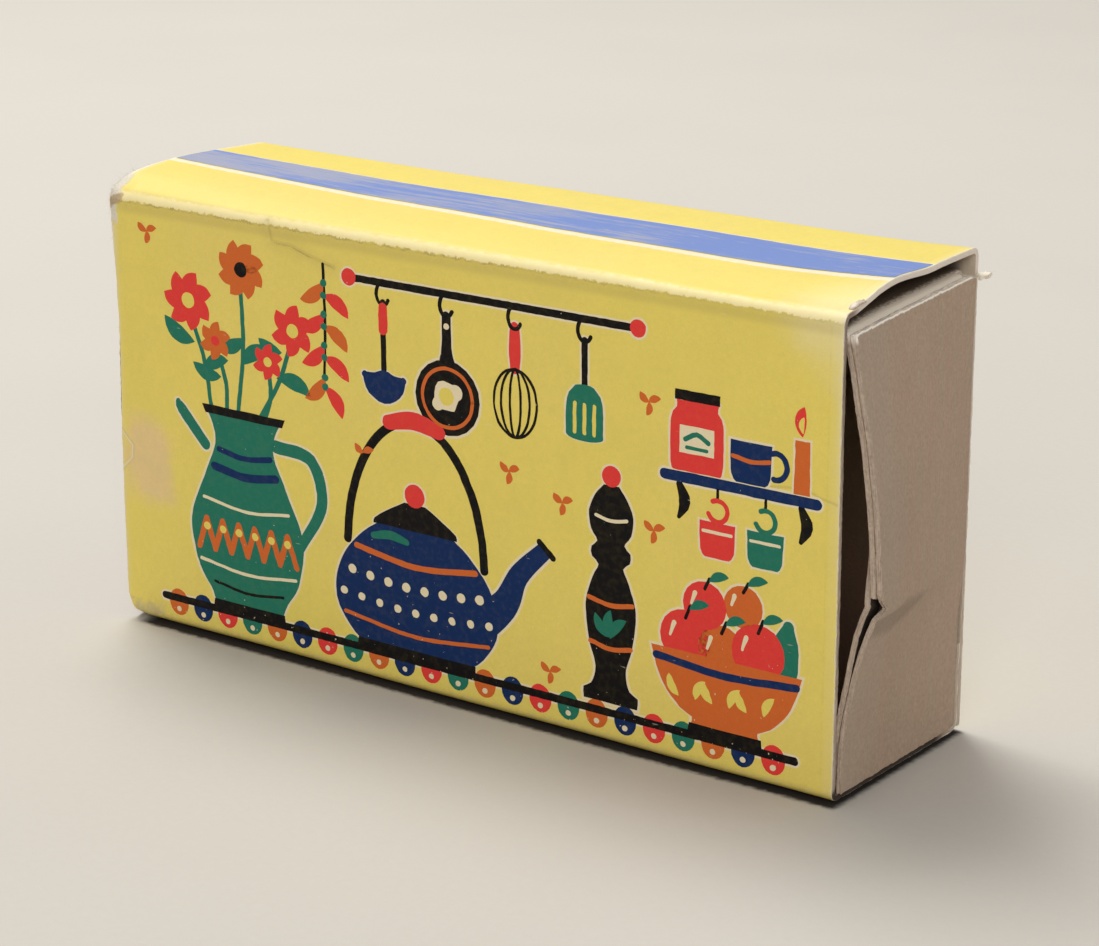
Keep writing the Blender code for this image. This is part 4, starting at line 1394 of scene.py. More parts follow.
@kept_material
def printed_ink(name):
    """An ink of the picture, a little uneven and flaked off in places, most near the lower fold."""
    _, tint = settings()
    f = Finish("ink_" + name)
    _, _, z = f.parts(f.spot)
    ink = getattr(tint, name)
    grain, fine, speck = board_noises(f)
    scuffs, scratches = wear_noises(f)
    flaked = f.rise(scuffs + f.fall(z, 4.0, 15.0) * 0.055, 0.750, 0.790)
    pinholes = f.rise(speck, 0.78, 0.84) * 0.4
    scratch = f.rise(scratches, 0.785, 0.84) * 0.35
    thin = tuple(0.96 * part + 0.04 * below for part, below in zip(ink, tint.yellow))
    colour = f.mix(f.rise(grain, 0.42, 0.72) * 0.45, ink, thin)
    colour = f.mix(flaked.most(pinholes).most(scratch), colour, (0.80, 0.70, 0.48))
    colour = f.shaded(colour, 0.93 + fine.swing() * 0.2)
    relief = fine * 0.010 + speck * 0.006 + grain * 0.015 - flaked * 0.02
    roughness = 0.56 + flaked * 0.3 + grain.swing() * 0.16
    return f.done(colour, roughness, relief, 0.12)


@kept_material
def floor_finish():
    """Matt pale floor with a barely visible grain, and a painted contact shadow, nearly black, under the
    box's footprint.
    """
    studio = bpy.context.scene.matchbox_studio
    f = Finish("floor_pale")
    x, y, _ = f.parts(f.spot)
    soft = f.noise(size=60.0, detail=3.0)
    grain = f.noise(size=1.2, detail=3.0, shift=3.0)
    colour = f.shaded(studio.floor, 0.96 + soft * 0.05 + grain.swing() * 0.05)
    uneven = grain.swing() * 1.1
    # painted contact shadow: the floor under the box's footprint, fading out at its rim
    beneath = f.rise(y + uneven - f.rise(x, 20.0, 60.0) * 0.5, -19.3, -17.9) * f.rise(y, 17.6, 16.4)
    beneath = beneath * f.rise(x + uneven, -60.4, -57.2) * f.rise(x + uneven * 0.6, 63.3, 61.9)
    # near-black colour of the painted contact shadow
    colour = f.mix(beneath * 0.96, colour, (0.016, 0.010, 0.008))
    return f.done(colour, 0.85 + grain.swing() * 0.05, grain * 0.02, 0.2)


# The picture on the front panel: a kitchen shelf, in millimetres from the panel's left end and lower fold

def smooth_row(rows, step=0.8):
    """A Catmull-Rom curve through rows of numbers, with a point about every step of the first two."""
    rows = np.asarray(rows, float)
    if len(rows) == 2:
        rows = np.array([rows[0], rows.mean(axis=0), rows[1]])
    padded = np.concatenate([[2 * rows[0] - rows[1]], rows, [2 * rows[-1] - rows[-2]]])
    pieces = []
    for before, start, end, after in zip(padded, padded[1:], padded[2:], padded[3:]):
        count = max(3, int(np.linalg.norm((end - start)[:2]) / step) + 2)
        t = np.linspace(0, 1, count)[:-1, None]
        square = (2 * before - 5 * start + 4 * end - after) * t**2
        cube = (3 * start - before - 3 * end + after) * t**3
        pieces.append(0.5 * (2 * start + (end - before) * t + square + cube))
    return np.concatenate(pieces + [rows[-1:]])


CAP_POINTS = 5
DOT = 0.02
LEAF = Measures(points=9, curve=0.12, blunt=0.8, least=0.04, ends=0.3)
FLOWER = Measures(turn=17, wide=0.62, heart=0.26)
RING_POINTS = 15
"""Points of a rounded end, half length of a dot, shares of a leaf and a flower, and points of a ring."""


class Picture:
    """Shapes of ink along paths: place(t, v) = path(t) + v width(t) normal(t)."""

    def __init__(self):
        self.shapes = {}

    def shape(self, ink, level, rows, ends=1.0, rim=0.0, columns=5):
        """A shape from rows of (across, up, half width); ends is the roundness of its two ends."""
        path = smooth_row(rows)
        if rim:
            self.grid("cream", 0, path, rim, ends, columns)
        self.grid(ink, level, path, 0.0, ends, columns)

    def grid(self, ink, level, path, more, ends, columns):
        """Work out the grid of one shape, widened by more all round."""
        width = np.abs(path[:, 2]) + more
        way = unit(np.gradient(path[:, :2], axis=0))
        turn = np.linspace(0, np.pi / 2, CAP_POINTS + 1)[1:]
        caps = []
        for at, forward in ((0, -1), (-1, 1)):
            reach = (ends * width[at] if ends else more) * np.sin(turn)
            narrow = width[at] * (np.cos(turn) if ends else np.ones(CAP_POINTS))
            place = path[at, :2] + forward * reach[:, None] * way[at]
            caps.append((place, narrow, np.repeat(way[at][None], CAP_POINTS, axis=0)))
        places = np.concatenate([caps[0][0][::-1], path[:, :2], caps[1][0]])
        width = np.concatenate([caps[0][1][::-1], width, caps[1][1]])
        way = np.concatenate([caps[0][2], way, caps[1][2]])
        normal = np.stack([-way[:, 1], way[:, 0]], -1)
        side = np.linspace(-1, 1, columns)[None, :, None]
        grid = places[:, None] + side * width[:, None, None] * normal[:, None]
        self.shapes.setdefault(ink, []).append((level, grid))

    def line(self, ink, level, width, *points, rim=0.0):
        """A line of even width through the points."""
        self.shape(ink, level, [(across, up, width / 2) for across, up in points], rim=rim, columns=3)

    def disc(self, ink, level, across, up, radius, rim=0.0):
        """A round spot."""
        self.shape(ink, level, [(across - DOT, up, radius), (across + DOT, up, radius)], rim=rim)

    def turned(self, ink, level, axis, rows, rim=0.0):
        """The outline of a turned vessel: half widths at heights on an upright axis."""
        self.shape(ink, level, [(axis, up, width) for up, width in rows], ends=0.0, rim=rim, columns=9)

    def leaf(self, ink, level, across, up, angle, long, wide, rim=0.0):
        """A pointed leaf from its stem: width goes as the sine of the way along it."""
        share = np.linspace(0, 1, LEAF.points)
        turn = math.radians(angle)
        curve = LEAF.curve * long * np.sin(np.pi * share)
        rows = np.stack([
            across + long * share * math.cos(turn) - curve * math.sin(turn),
            up + long * share * math.sin(turn) + curve * math.cos(turn),
            wide / 2 * np.sin(np.pi * share) ** LEAF.blunt + LEAF.least,
        ], -1)
        self.shape(ink, level, rows, ends=LEAF.ends, rim=rim)

    def flower(self, ink, heart, level, across, up, size, petals):
        """Petals round a heart."""
        for petal in range(petals):
            angle = 360 * petal / petals + FLOWER.turn
            self.leaf(ink, level, across, up, angle, size, size * FLOWER.wide)
        self.disc(heart, level + 1, across, up, size * FLOWER.heart)

    def zigzag(self, ink, level, width, start, end, up, high, teeth):
        """A line that goes up and down between start and end."""
        at = np.linspace(start, end, 2 * teeth + 1)
        for first, (left, right) in enumerate(zip(at, at[1:])):
            low = high * (first % 2)
            self.line(ink, level, width, (left, up + low), (right, up + high - low))

    def ring(self, ink, level, width, across, up, wide, tall, start=0, end=360):
        """Part of an oval line."""
        turn = np.radians(np.linspace(start, end, RING_POINTS))
        self.line(ink, level, width, *zip(across + wide * np.cos(turn), up + tall * np.sin(turn)))


def draw_pitcher(art):
    """A green pitcher with a patterned belly and a bunch of flowers."""
    body = [(6, 6.4), (8, 7.3), (11, 9.3), (16, 10.5), (20, 10.2),
            (26, 7.6), (31, 5.5), (34, 5.9), (36.4, 7.2)]
    handle = [(30.0, 32.5, 1.0), (36.4, 31.5, 1.0), (38.2, 25.0, 0.95), (34.0, 17.5, 0.8)]
    art.shape("green", 2, [(16.6, 30.5, 0.9), (12.2, 35.2, 0.9), (11.5, 36.2, 0.5)], rim=0.35)
    art.shape("green", 1, handle, rim=0.35)
    stems = ((18, 36, 14, 51), (23, 36, 24, 57), (27, 36, 33.5, 49.5), (21, 36, 19, 46), (28, 36, 29, 44))
    for left, low, right, high in stems:
        middle = ((left + right) / 2 + 0.8, (low + high) / 2)
        art.line("green", 1, 0.75, (left, low), middle, (right, high))
    leaves = ((15, 46, 150, 6.5, 2.6), (16.8, 42, 25, 5, 2.2), (24.5, 48, 200, 5.5, 2.2),
              (24, 44, 30, 6, 2.4), (30.5, 43, -15, 6.5, 2.4), (31.5, 47, 160, 4.5, 2.0),
              (20, 41.5, 165, 5.5, 2.2))
    for leaf in leaves:
        art.leaf("green", 2, *leaf)
    art.turned("green", 3, 24, body, rim=0.4)
    art.turned("black", 4, 24, [(4.9, 6.9), (6.2, 6.7)])
    art.turned("black", 4, 24, [(35.5, 7.2), (36.8, 7.8)])
    art.line("cream", 5, 0.5, (16.0, 22.2), (24, 21.2), (32.0, 22.2))
    art.line("cream", 5, 0.5, (15.0, 12.2), (24, 11.2), (33.0, 12.2))
    art.zigzag("orange", 5, 1.0, 14.8, 33.2, 14.2, 4.6, 6)
    for step in range(6):
        art.disc("yellow", 6, 16.4 + 3.05 * step, 17.6, 0.62)
    art.line("navy", 5, 1.3, (18.2, 27.4), (24, 26.6), (29.8, 27.4))
    art.line("navy", 5, 0.9, (19.2, 30.2), (24, 29.5), (28.8, 30.2))
    art.line("black", 4, 0.45, (17.5, 9.0), (24, 8.2), (30.5, 9.0))
    art.flower("red", "yellow", 4, 14, 52.2, 4.6, 7)
    art.flower("orange", "black", 4, 24.2, 58.3, 4.4, 8)
    art.flower("red", "yellow", 4, 33.6, 50.6, 4.0, 6)
    art.flower("orange", "red", 4, 19.0, 46.8, 3.0, 6)
    art.flower("red", "yellow", 4, 28.9, 45.2, 2.8, 6)


def draw_kettle(art):
    """A navy kettle with a bent spout and a bail handle."""
    body = [(6, 10.2), (7.5, 12.0), (11, 14.2), (15, 14.3), (19, 12.6), (22.5, 9.4), (24.6, 6.4)]
    art.ring("black", 1, 1.4, 55, 19.5, 12.2, 21.0, 4, 176)
    art.shape("red", 3, [(50.6, 39.9, 1.1), (55, 40.8, 1.35), (59.4, 39.9, 1.1)], rim=0.3)
    spout = [(65.5, 12.2, 3.0), (70.6, 16.6, 2.2), (73.2, 21.6, 1.6), (77.6, 26.2, 1.25)]
    art.shape("navy", 2, spout, ends=0.0, rim=0.4)
    art.line("black", 3, 0.9, (76.6, 27.2), (78.9, 25.2))
    art.turned("navy", 3, 55, body, rim=0.4)
    art.turned("black", 4, 55, [(4.9, 10.6), (6.1, 10.5)])
    art.turned("black", 4, 55, [(24.3, 7.4), (25.1, 7.2), (26.6, 5.0), (28.3, 1.9)], rim=0.3)
    art.disc("red", 5, 55, 29.6, 1.75, rim=0.3)
    art.line("orange", 5, 0.9, (44.4, 20.2), (55, 18.9), (65.6, 20.2))
    art.line("orange", 5, 0.6, (42.2, 9.6), (55, 8.3), (67.8, 9.6))
    for row, (up, first, count) in enumerate(((16.4, 43.6, 8), (12.8, 42.0, 9))):
        for step in range(count):
            sag = 0.9 * math.sin(math.pi * step / (count - 1))
            art.disc("cream", 5, first + 3.25 * step, up - sag, 0.72 - 0.1 * row)
    art.shape("green", 4, [(47.5, 22.3, 0.5), (50.5, 22.9, 0.7), (53.5, 22.4, 0.5)])


def draw_rail(art):
    """A black rail with a ladle, a skillet, a whisk and a turner hung from hooks."""
    art.line("black", 2, 1.1, (44.5, 60.2), (92.0, 60.2), rim=0.3)
    for end in (44.0, 92.5):
        art.disc("red", 3, end, 60.2, 1.25, rim=0.3)
    for hook in (50, 61, 72.5, 84):
        art.ring("black", 3, 0.6, hook, 58.6, 1.1, 1.6, 60, 330)
    art.line("black", 2, 0.9, (50, 57.4), (50, 47.5))
    ladle = [(46.6, 46.4, 0.5), (48.0, 45.4, 1.8), (50, 45.0, 2.5), (52.0, 45.4, 1.8), (53.4, 46.4, 0.5)]
    art.shape("navy", 3, ladle, rim=0.3)
    art.line("red", 4, 1.5, (50, 56.6), (50, 53.4))
    art.shape("black", 3, [(61, 57.0, 0.75), (61, 52.5, 0.85), (61, 50.6, 1.3)], rim=0.3)
    art.disc("black", 3, 61, 45.2, 5.5, rim=0.4)
    art.ring("orange", 4, 0.55, 61, 45.2, 4.3, 4.3)
    art.disc("yellow", 5, 60.8, 45.4, 1.3)
    art.shape("cream", 4, [(59.4, 44.2, 1.0), (60.8, 45.4, 2.4), (62.4, 46.2, 1.2)])
    art.disc("cream", 4, 61, 55.6, 0.45)
    art.shape("red", 3, [(72.5, 57.2, 0.8), (72.5, 54.0, 1.0), (72.5, 51.4, 0.8)], rim=0.3)
    for wide in (0.9, 2.4, 3.6):
        art.ring("black", 3, 0.4, 72.5, 46.4, wide, 4.9, 90, 450)
    art.line("black", 2, 1.0, (84, 57.2), (84, 50.2), rim=0.3)
    art.shape("green", 3, [(84, 50.6, 1.7), (84, 48.8, 2.9), (84, 43.8, 3.1)], ends=0.25, rim=0.35)
    for slot in (-1.6, 0, 1.6):
        art.line("yellow", 4, 0.6, (84 + slot, 48.2), (84 + slot, 44.2))


def draw_mill(art):
    """A turned black pepper mill with a red knob."""
    rows = [(6, 4.4), (7.6, 4.5), (8.4, 3.2), (11, 2.5), (15, 3.6), (20, 4.1), (24, 3.0), (26, 2.0),
            (27, 3.1), (28.4, 3.2), (29.4, 2.2), (31.0, 3.3), (33.6, 3.6), (36.0, 2.6), (37.6, 1.2)]
    art.turned("black", 3, 88.5, rows, rim=0.4)
    art.disc("red", 4, 88.5, 38.9, 1.5, rim=0.3)
    art.line("orange", 4, 0.7, (85.2, 14.6), (88.5, 14.0), (91.8, 14.6))
    art.line("orange", 4, 0.7, (84.9, 21.0), (88.5, 20.4), (92.1, 21.0))
    for step in range(3):
        art.leaf("green", 4, 88.5, 15.6 + 0.1 * step, 50 + 40 * step, 4.0, 1.5)
    art.line("cream", 4, 0.5, (86.0, 33.0), (88.5, 32.6), (91.0, 33.0))


def draw_bowl(art):
    """An orange bowl of fruit."""
    fruits = ((100.6, 18.4, 4.0, "red"), (112.0, 18.6, 4.1, "red"), (106.3, 17.6, 3.7, "orange"),
              (103.6, 23.6, 3.4, "red"), (109.6, 24.6, 3.0, "orange"))
    for across, up, radius, ink in fruits:
        art.disc(ink, 2, across, up, radius, rim=0.35)
        art.line("black", 3, 0.5, (across, up + radius * 0.7), (across + 0.7, up + radius * 1.15))
        art.leaf("green", 3, across + 0.7, up + radius * 1.05, 20, 3.2, 1.3)
        shine = [(across - radius * 0.6, up, 0.2), (across - radius * 0.45, up + radius * 0.45, 0.35)]
        art.shape("cream", 3, shine)
    art.shape("green", 2, [(115.8, 17.4, 2.4), (116.2, 20.6, 2.0), (116.6, 23.2, 0.9)], rim=0.3)
    body = [(6.2, 5.4), (7.2, 5.2), (8.2, 7.2), (11, 9.8), (14.2, 11.2), (16.4, 11.8)]
    art.turned("orange", 4, 107, body, rim=0.4)
    art.turned("black", 5, 107, [(4.9, 5.9), (6.3, 5.7)])
    art.line("navy", 5, 1.1, (96.0, 15.0), (107, 14.2), (118.0, 15.0))
    for step in range(6):
        art.leaf("yellow", 5, 99.6 + 2.7 * step, 9.8, 62 if step % 2 else 118, 3.3, 1.3)


def draw_wall_shelf(art):
    """A small wall shelf with a jar, a cup and a candle, and cups hung below it."""
    art.line("navy", 2, 1.5, (97.0, 41.0), (120.5, 41.0), rim=0.35)
    for end in (99.4, 118.2):
        art.shape("black", 1, [(end, 40.0, 0.5), (end + 0.9, 37.6, 0.9), (end, 35.4, 0.3)])
    art.turned("red", 3, 102, [(41.9, 3.7), (43, 4.1), (49, 4.1), (50.6, 3.2), (51.6, 3.3)], rim=0.35)
    art.turned("black", 4, 102, [(51.6, 3.5), (53.0, 3.5)])
    art.turned("cream", 4, 102, [(44.4, 2.7), (48.2, 2.7)])
    art.line("green", 5, 0.7, (100.2, 46.3), (102, 47.2), (103.8, 46.3))
    art.line("green", 5, 0.5, (100.4, 45.2), (103.6, 45.2))
    art.turned("navy", 3, 110.4, [(41.9, 2.2), (43.0, 3.0), (47.6, 3.2)], rim=0.35)
    art.ring("navy", 3, 0.8, 114.2, 45.0, 1.7, 1.8, -100, 110)
    art.line("orange", 4, 0.6, (107.6, 45.4), (110.4, 45.0), (113.2, 45.4))
    art.turned("orange", 3, 118.2, [(41.9, 1.2), (49.2, 1.1)], rim=0.3)
    art.leaf("red", 4, 118.2, 49.8, 88, 4.0, 1.7)
    art.leaf("yellow", 5, 118.2, 50.2, 88, 2.2, 0.8)
    for across, ink in ((105.4, "red"), (112.8, "green")):
        art.line("black", 2, 0.45, (across, 40.2), (across, 38.6))
        art.ring(ink, 3, 0.7, across, 37.2, 1.5, 1.5, 200, 480)
        art.turned(ink, 3, across, [(30.6, 1.9), (31.6, 2.6), (35.6, 2.8)], rim=0.3)
        art.line("cream", 4, 0.45, (across - 2.2, 34.2), (across + 2.2, 34.2))


def draw_shelf_edge(art):
    """The long shelf with a scalloped edging, and a string of peppers beside the pitcher."""
    art.line("black", 2, 1.2, (7.5, 4.6), (118.0, 4.6), rim=0.3)
    for step in range(23):
        middle = 10.2 + 4.75 * step
        ink = ("orange", "navy", "red", "green")[step % 4]
        art.shape(ink, 1, [(middle - 0.02, 4.0, 2.15), (middle + 0.02, 4.0, 2.15)], ends=0.86)
        art.disc("cream", 3, middle, 2.9, 0.42)
    art.line("black", 1, 0.5, (39.4, 61.4), (39.6, 52), (39.2, 42.6))
    peppers = ((58.6, 215), (56.8, -32), (54.0, 212), (52.2, -38),
               (49.4, 218), (47.6, -35), (44.6, 225), (43.2, -55))
    for step, (up, angle) in enumerate(peppers):
        art.leaf("red" if step % 3 else "orange", 2, 39.4, up, angle, 5.2, 2.1)
        art.disc("green", 3, 39.4, up, 0.55)
    sprigs = ((6.6, 61.6), (46.0, 34.5), (80.4, 33.6), (94.4, 50.4), (78.4, 8.4), (95.4, 32.6), (71.4, 36.4))
    for across, up in sprigs:
        for turn in range(3):
            art.leaf("orange", 1, across, up, 120 * turn + 20, 1.9, 1.0)


DRAWINGS = (draw_shelf_edge, draw_rail, draw_wall_shelf, draw_pitcher, draw_kettle, draw_mill, draw_bowl)

INK_EDGE = Measures(seed=60, high=0.05, short=0.7, long=5.0, up=0.8)
INK_LAYER = Measures(least=0.010, level=0.006, step=0.0004, steps=7, under=-0.03)
"""Waviness of an ink's border and the heights at which inks lie on the board, in millimetres."""


def grid_border(rows, columns):
    """Corner numbers of a grid, once round its border."""
    number = np.arange(rows * columns).reshape(rows, columns)
    return np.concatenate([number[0, :-1], number[:-1, -1], number[-1, :0:-1], number[:0:-1, 0]])


def ink_pieces(form):
    """The picture's inks laid on the front panel, each shape a thin slab that follows the worn board."""
    art = Picture()
    for draw in DRAWINGS:
        draw(art)
    pieces = []
    for order, (ink, shapes) in enumerate(sorted(art.shapes.items())):
        points, faces, first = [], [], 0
        for number, (level, grid) in enumerate(shapes):
            across, up = grid[..., 0], grid[..., 1]
            edge, layer = INK_EDGE, INK_LAYER
            jitter = edge.high * waves(edge.seed + order, edge.short, edge.long, across, up)
            across, up = (across + jitter) * MM, (up + edge.up * jitter) * MM
            lift = (layer.least + layer.level * level + layer.step * (number % layer.steps)) * MM
            outer = form.front_place(across, up, lift)
            if np.cross(outer[1, 0] - outer[0, 0], outer[0, 1] - outer[0, 0])[1] > 0:
                across, up, outer = across[::-1], up[::-1], outer[::-1]
            inner = form.front_place(across, up, layer.under * MM)
            rows, columns = across.shape
            loop = grid_border(rows, columns)
            after = np.roll(loop, -1)
            below = rows * columns
            quads = grid_faces(rows, columns)
            side = np.stack([loop, after, after + below, loop + below], -1)
            points += [outer.reshape(-1, 3), inner.reshape(-1, 3)]
            faces += [quads + first, quads[:, ::-1] + below + first, side + first]
            first += 2 * below
        points, faces = np.concatenate(points), np.concatenate(faces)
        pieces.append(make_piece("picture_" + ink, points, faces, printed_ink(ink)))
    return pieces


# Loose paper

TORN_PLY = (
    (56.8, 13.2, 64.9, 1.5),
    (59.4, 13.4, 65.05, 1.7),
    (60.9, 14.0, 65.35, 1.5),
    (61.9, 14.8, 65.65, 1.0),
    (62.9, 15.3, 66.0, 0.75),
    (63.9, 15.5, 66.3, 0.50),
)
"""Middle line and half width of the ply torn off the tray's back corner, in millimetres."""

CORNER_FLAKE = (
    (61.5, -17.1, 67.6, 0.25),
    (61.7, -16.4, 68.0, 0.42),
    (61.8, -15.6, 68.2, 0.40),
    (61.8, -14.8, 68.2, 0.34),
    (61.7, -14.0, 68.1, 0.22),
)
"""The same of the white lining that stands up at the sleeve's front corner."""

SLIVER = Measures(step=0.3 * MM, columns=9, ragged=0.09 * MM, seed=53, rows=3)
SLIVER_WIDTH = Measures(seed=51, high=0.28, short=0.5 * MM, long=2 * MM)
SLIVER_RIPPLE = Measures(seed=52, high=0.10 * MM, short=0.6 * MM, long=3 * MM)
"""Points of a sliver, and the waves of its width, as a share of it, and of its surface."""


def sliver(name, rows, spread, thickness, material):
    """A torn sliver of paper: place(t, v) = path(t) + v width(t) spread, with the given thickness."""
    path = smooth_row(np.array(rows) * MM, SLIVER.step)
    run = travelled(path[:, :3])
    spread = unit(np.asarray(spread, float))
    side = np.linspace(-1, 1, SLIVER.columns)[None, :, None]
    width = path[:, 3] * (1 + rippled(SLIVER_WIDTH, run))
    places = path[:, None, :3] + side * width[:, None, None] * spread
    places[..., 2] += rippled(SLIVER_RIPPLE, places[..., 0], places[..., 1])
    flat = together(run[:, None], side[..., 0] * MM)
    places, flat = facing(places, flat, places.mean(axis=(0, 1)) - np.array([0, 0, 1.0]))
    board = Board([(places, flat)], thickness, SLIVER.ragged, SLIVER.seed, rows=SLIVER.rows)
    return board.make(name, material), board


# Operators

PICK_SLEEVE, PICK_TRAY = 77, 78
NEAR_FLOOR, TRAY_LOW, NEAR_END = 2 * MM, 2.2 * MM, 60 * MM
"""Seeds of the picked roots, and the heights and the place from which fibres stand out."""

TUFT = Measures(share=0.95, reach=5.5 * MM, times=9, long=1.1 * MM, thick=0.035 * MM, seed=5)
WISPS = Measures(left=0.20, times=2, right=0.14, long=0.62 * MM, thick=0.022 * MM, seed=6)
TRAY_WISPS = Measures(share=0.30, times=2, long=0.55 * MM, thick=0.022 * MM, seed=8)
PLY_FLUFF = Measures(times=3, long=0.5 * MM, thick=0.025 * MM, seed=9)
"""Fibres: share of the roots that bear them, how many each bears, their length, thickness and seed."""

PLY_WAY, PLY_THICK = (0, 1, 0.35), 0.45 * MM
FLAKE_WAY, FLAKE_THICK = (1, 0, 0), 0.25 * MM
"""Ways in which the torn ply and the flake spread, and how thick they are."""

FLOOR = Measures(half=2.6, points=81, level=1.2, rise=0.3, sunk=0.03 * MM)
SKY_TINT = (1.0, 0.98, 0.95, 1.0)
LIT_SPOT = (0.0, 0.0, 0.03)
OVERHEAD = Measures(place=(-0.55, 0.30, 1.15), size=0.65)
SIDE = Measures(place=(0.70, -1.15, 0.65), size=0.6)
SENSOR, NEAREST = 36.0, 0.01
"""The floor in metres, the tint of the even light, both lamps, and the camera's sensor and nearest range."""


def settle_piece(piece, body, slot, *nodes):
    """Declare what a piece moves with and hide the nodes that it stands for; slot is not used."""
    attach(piece, body)
    if nodes:
        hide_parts(*nodes)


class MATCHBOX_OT_sleeve(bpy.types.Operator):
    """Make the worn printed sleeve with the fluff at its torn corner and its ends"""

    bl_idname = "matchbox.sleeve"
    bl_label = "Sleeve"

    def execute(self, context):
        """Build the sleeve's board and the fibres that stand out of its cut ends."""
        form = Form(settings()[0])
        piece, board = sleeve_board(form, printed_board())
        settle_piece(piece, SLEEVE, "printed_board", "sleeve")
        root = board.rooted[0]
        corner = np.array([form.left, form.front - form.s.lean, form.top - form.s.left_drop])
        far = np.linalg.norm(root - corner, axis=1)
        pick = np.random.RandomState(PICK_SLEEVE).rand(len(root))
        tuft = np.repeat(np.flatnonzero(pick < TUFT.share * bell(far, TUFT.reach)), TUFT.times)
        fluff = fibres("corner_fluff", board.rooted, tuft, TUFT, paper_fibre(False))
        settle_piece(fluff, SLEEVE, "printed_board")
        clear = root[:, 2] > NEAR_FLOOR
        left = np.flatnonzero((pick < WISPS.left) & (root[:, 0] < 0) & clear)
        right = np.flatnonzero((pick < WISPS.right) & (root[:, 0] > 0) & clear)
        ends = np.concatenate([np.repeat(left, WISPS.times), right])
        wisps = fibres("end_wisps", board.rooted, ends, WISPS, paper_fibre(False))
        settle_piece(wisps, SLEEVE, "printed_board")
        return {"FINISHED"}


class MATCHBOX_OT_strips(bpy.types.Operator):
    """Make the blue striking strips on the top and the underside"""

    bl_idname = "matchbox.strips"
    bl_label = "Striking strips"

    def execute(self, context):
        """Build both strips."""
        form = Form(settings()[0])
        settle_piece(top_strip(form, striking_coat()), SLEEVE, "striker_coat", "striker_top")
        settle_piece(bottom_strip(form, striking_coat()), SLEEVE, "striker_coat", "striker_bottom")
        return {"FINISHED"}


class MATCHBOX_OT_tray(bpy.types.Operator):
    """Make the folded grey board tray with its buckled end and overlapping corner tabs"""

    bl_idname = "matchbox.tray"
    bl_label = "Tray"

    def execute(self, context):
        """Build the tray's board and the fibres of its cut edges."""
        form = Form(settings()[0])
        piece, board = tray_board(form, grey_board())
        settle_piece(piece, TRAY, "grey_board", "tray")
        root = board.rooted[0]
        pick = np.random.RandomState(PICK_TRAY).rand(len(root))
        edge = (np.abs(root[:, 0]) > NEAR_END) & (root[:, 2] > TRAY_LOW)
        chosen = np.repeat(np.flatnonzero((pick < TRAY_WISPS.share) & edge), TRAY_WISPS.times)
        wisps = fibres("tray_edge_wisps", board.rooted, chosen, TRAY_WISPS, paper_fibre(True))
        settle_piece(wisps, TRAY, "grey_board")
        return {"FINISHED"}


class MATCHBOX_OT_glue(bpy.types.Operator):
    """Lay the dried glue in the tab laps and in the sleeve's seam"""

    bl_idname = "matchbox.glue"
    bl_label = "Glue films"

    def execute(self, context):
        """Build the five films."""
        form = Form(settings()[0])
        for node, piece in glue_films(form, dried_glue()).items():
            settle_piece(piece, SLEEVE if node == "sleeve_seam_glue" else TRAY, "dried_glue", node)
        return {"FINISHED"}


class MATCHBOX_OT_picture(bpy.types.Operator):
    """Print the kitchen shelf picture on the front panel"""

    bl_idname = "matchbox.picture"
    bl_label = "Picture"

    def execute(self, context):
        """Lay every ink of the picture."""
        for piece in ink_pieces(Form(settings()[0])):
            settle_piece(piece, SLEEVE, "printed_board")
        return {"FINISHED"}


class MATCHBOX_OT_torn_paper(bpy.types.Operator):
    """Add the ply torn off the tray's back corner and the flake at the sleeve's front corner"""

    bl_idname = "matchbox.torn_paper"
    bl_label = "Torn paper"

    def execute(self, context):
        """Build the frayed ply, the fibres at its border and the flake."""
        ply, board = sliver("torn_ply", TORN_PLY, PLY_WAY, PLY_THICK, paper_fibre(False))
        settle_piece(ply, TRAY, "grey_board")
        chosen = np.repeat(np.flatnonzero(board.rooted[0][:, 0] > NEAR_END), PLY_FLUFF.times)
        fluff = fibres("torn_ply_fluff", board.rooted, chosen, PLY_FLUFF, paper_fibre(False))
        settle_piece(fluff, TRAY, "grey_board")
        flake, _ = sliver("corner_flake", CORNER_FLAKE, FLAKE_WAY, FLAKE_THICK, paper_fibre(True))
        settle_piece(flake, SLEEVE, "printed_board")
        return {"FINISHED"}


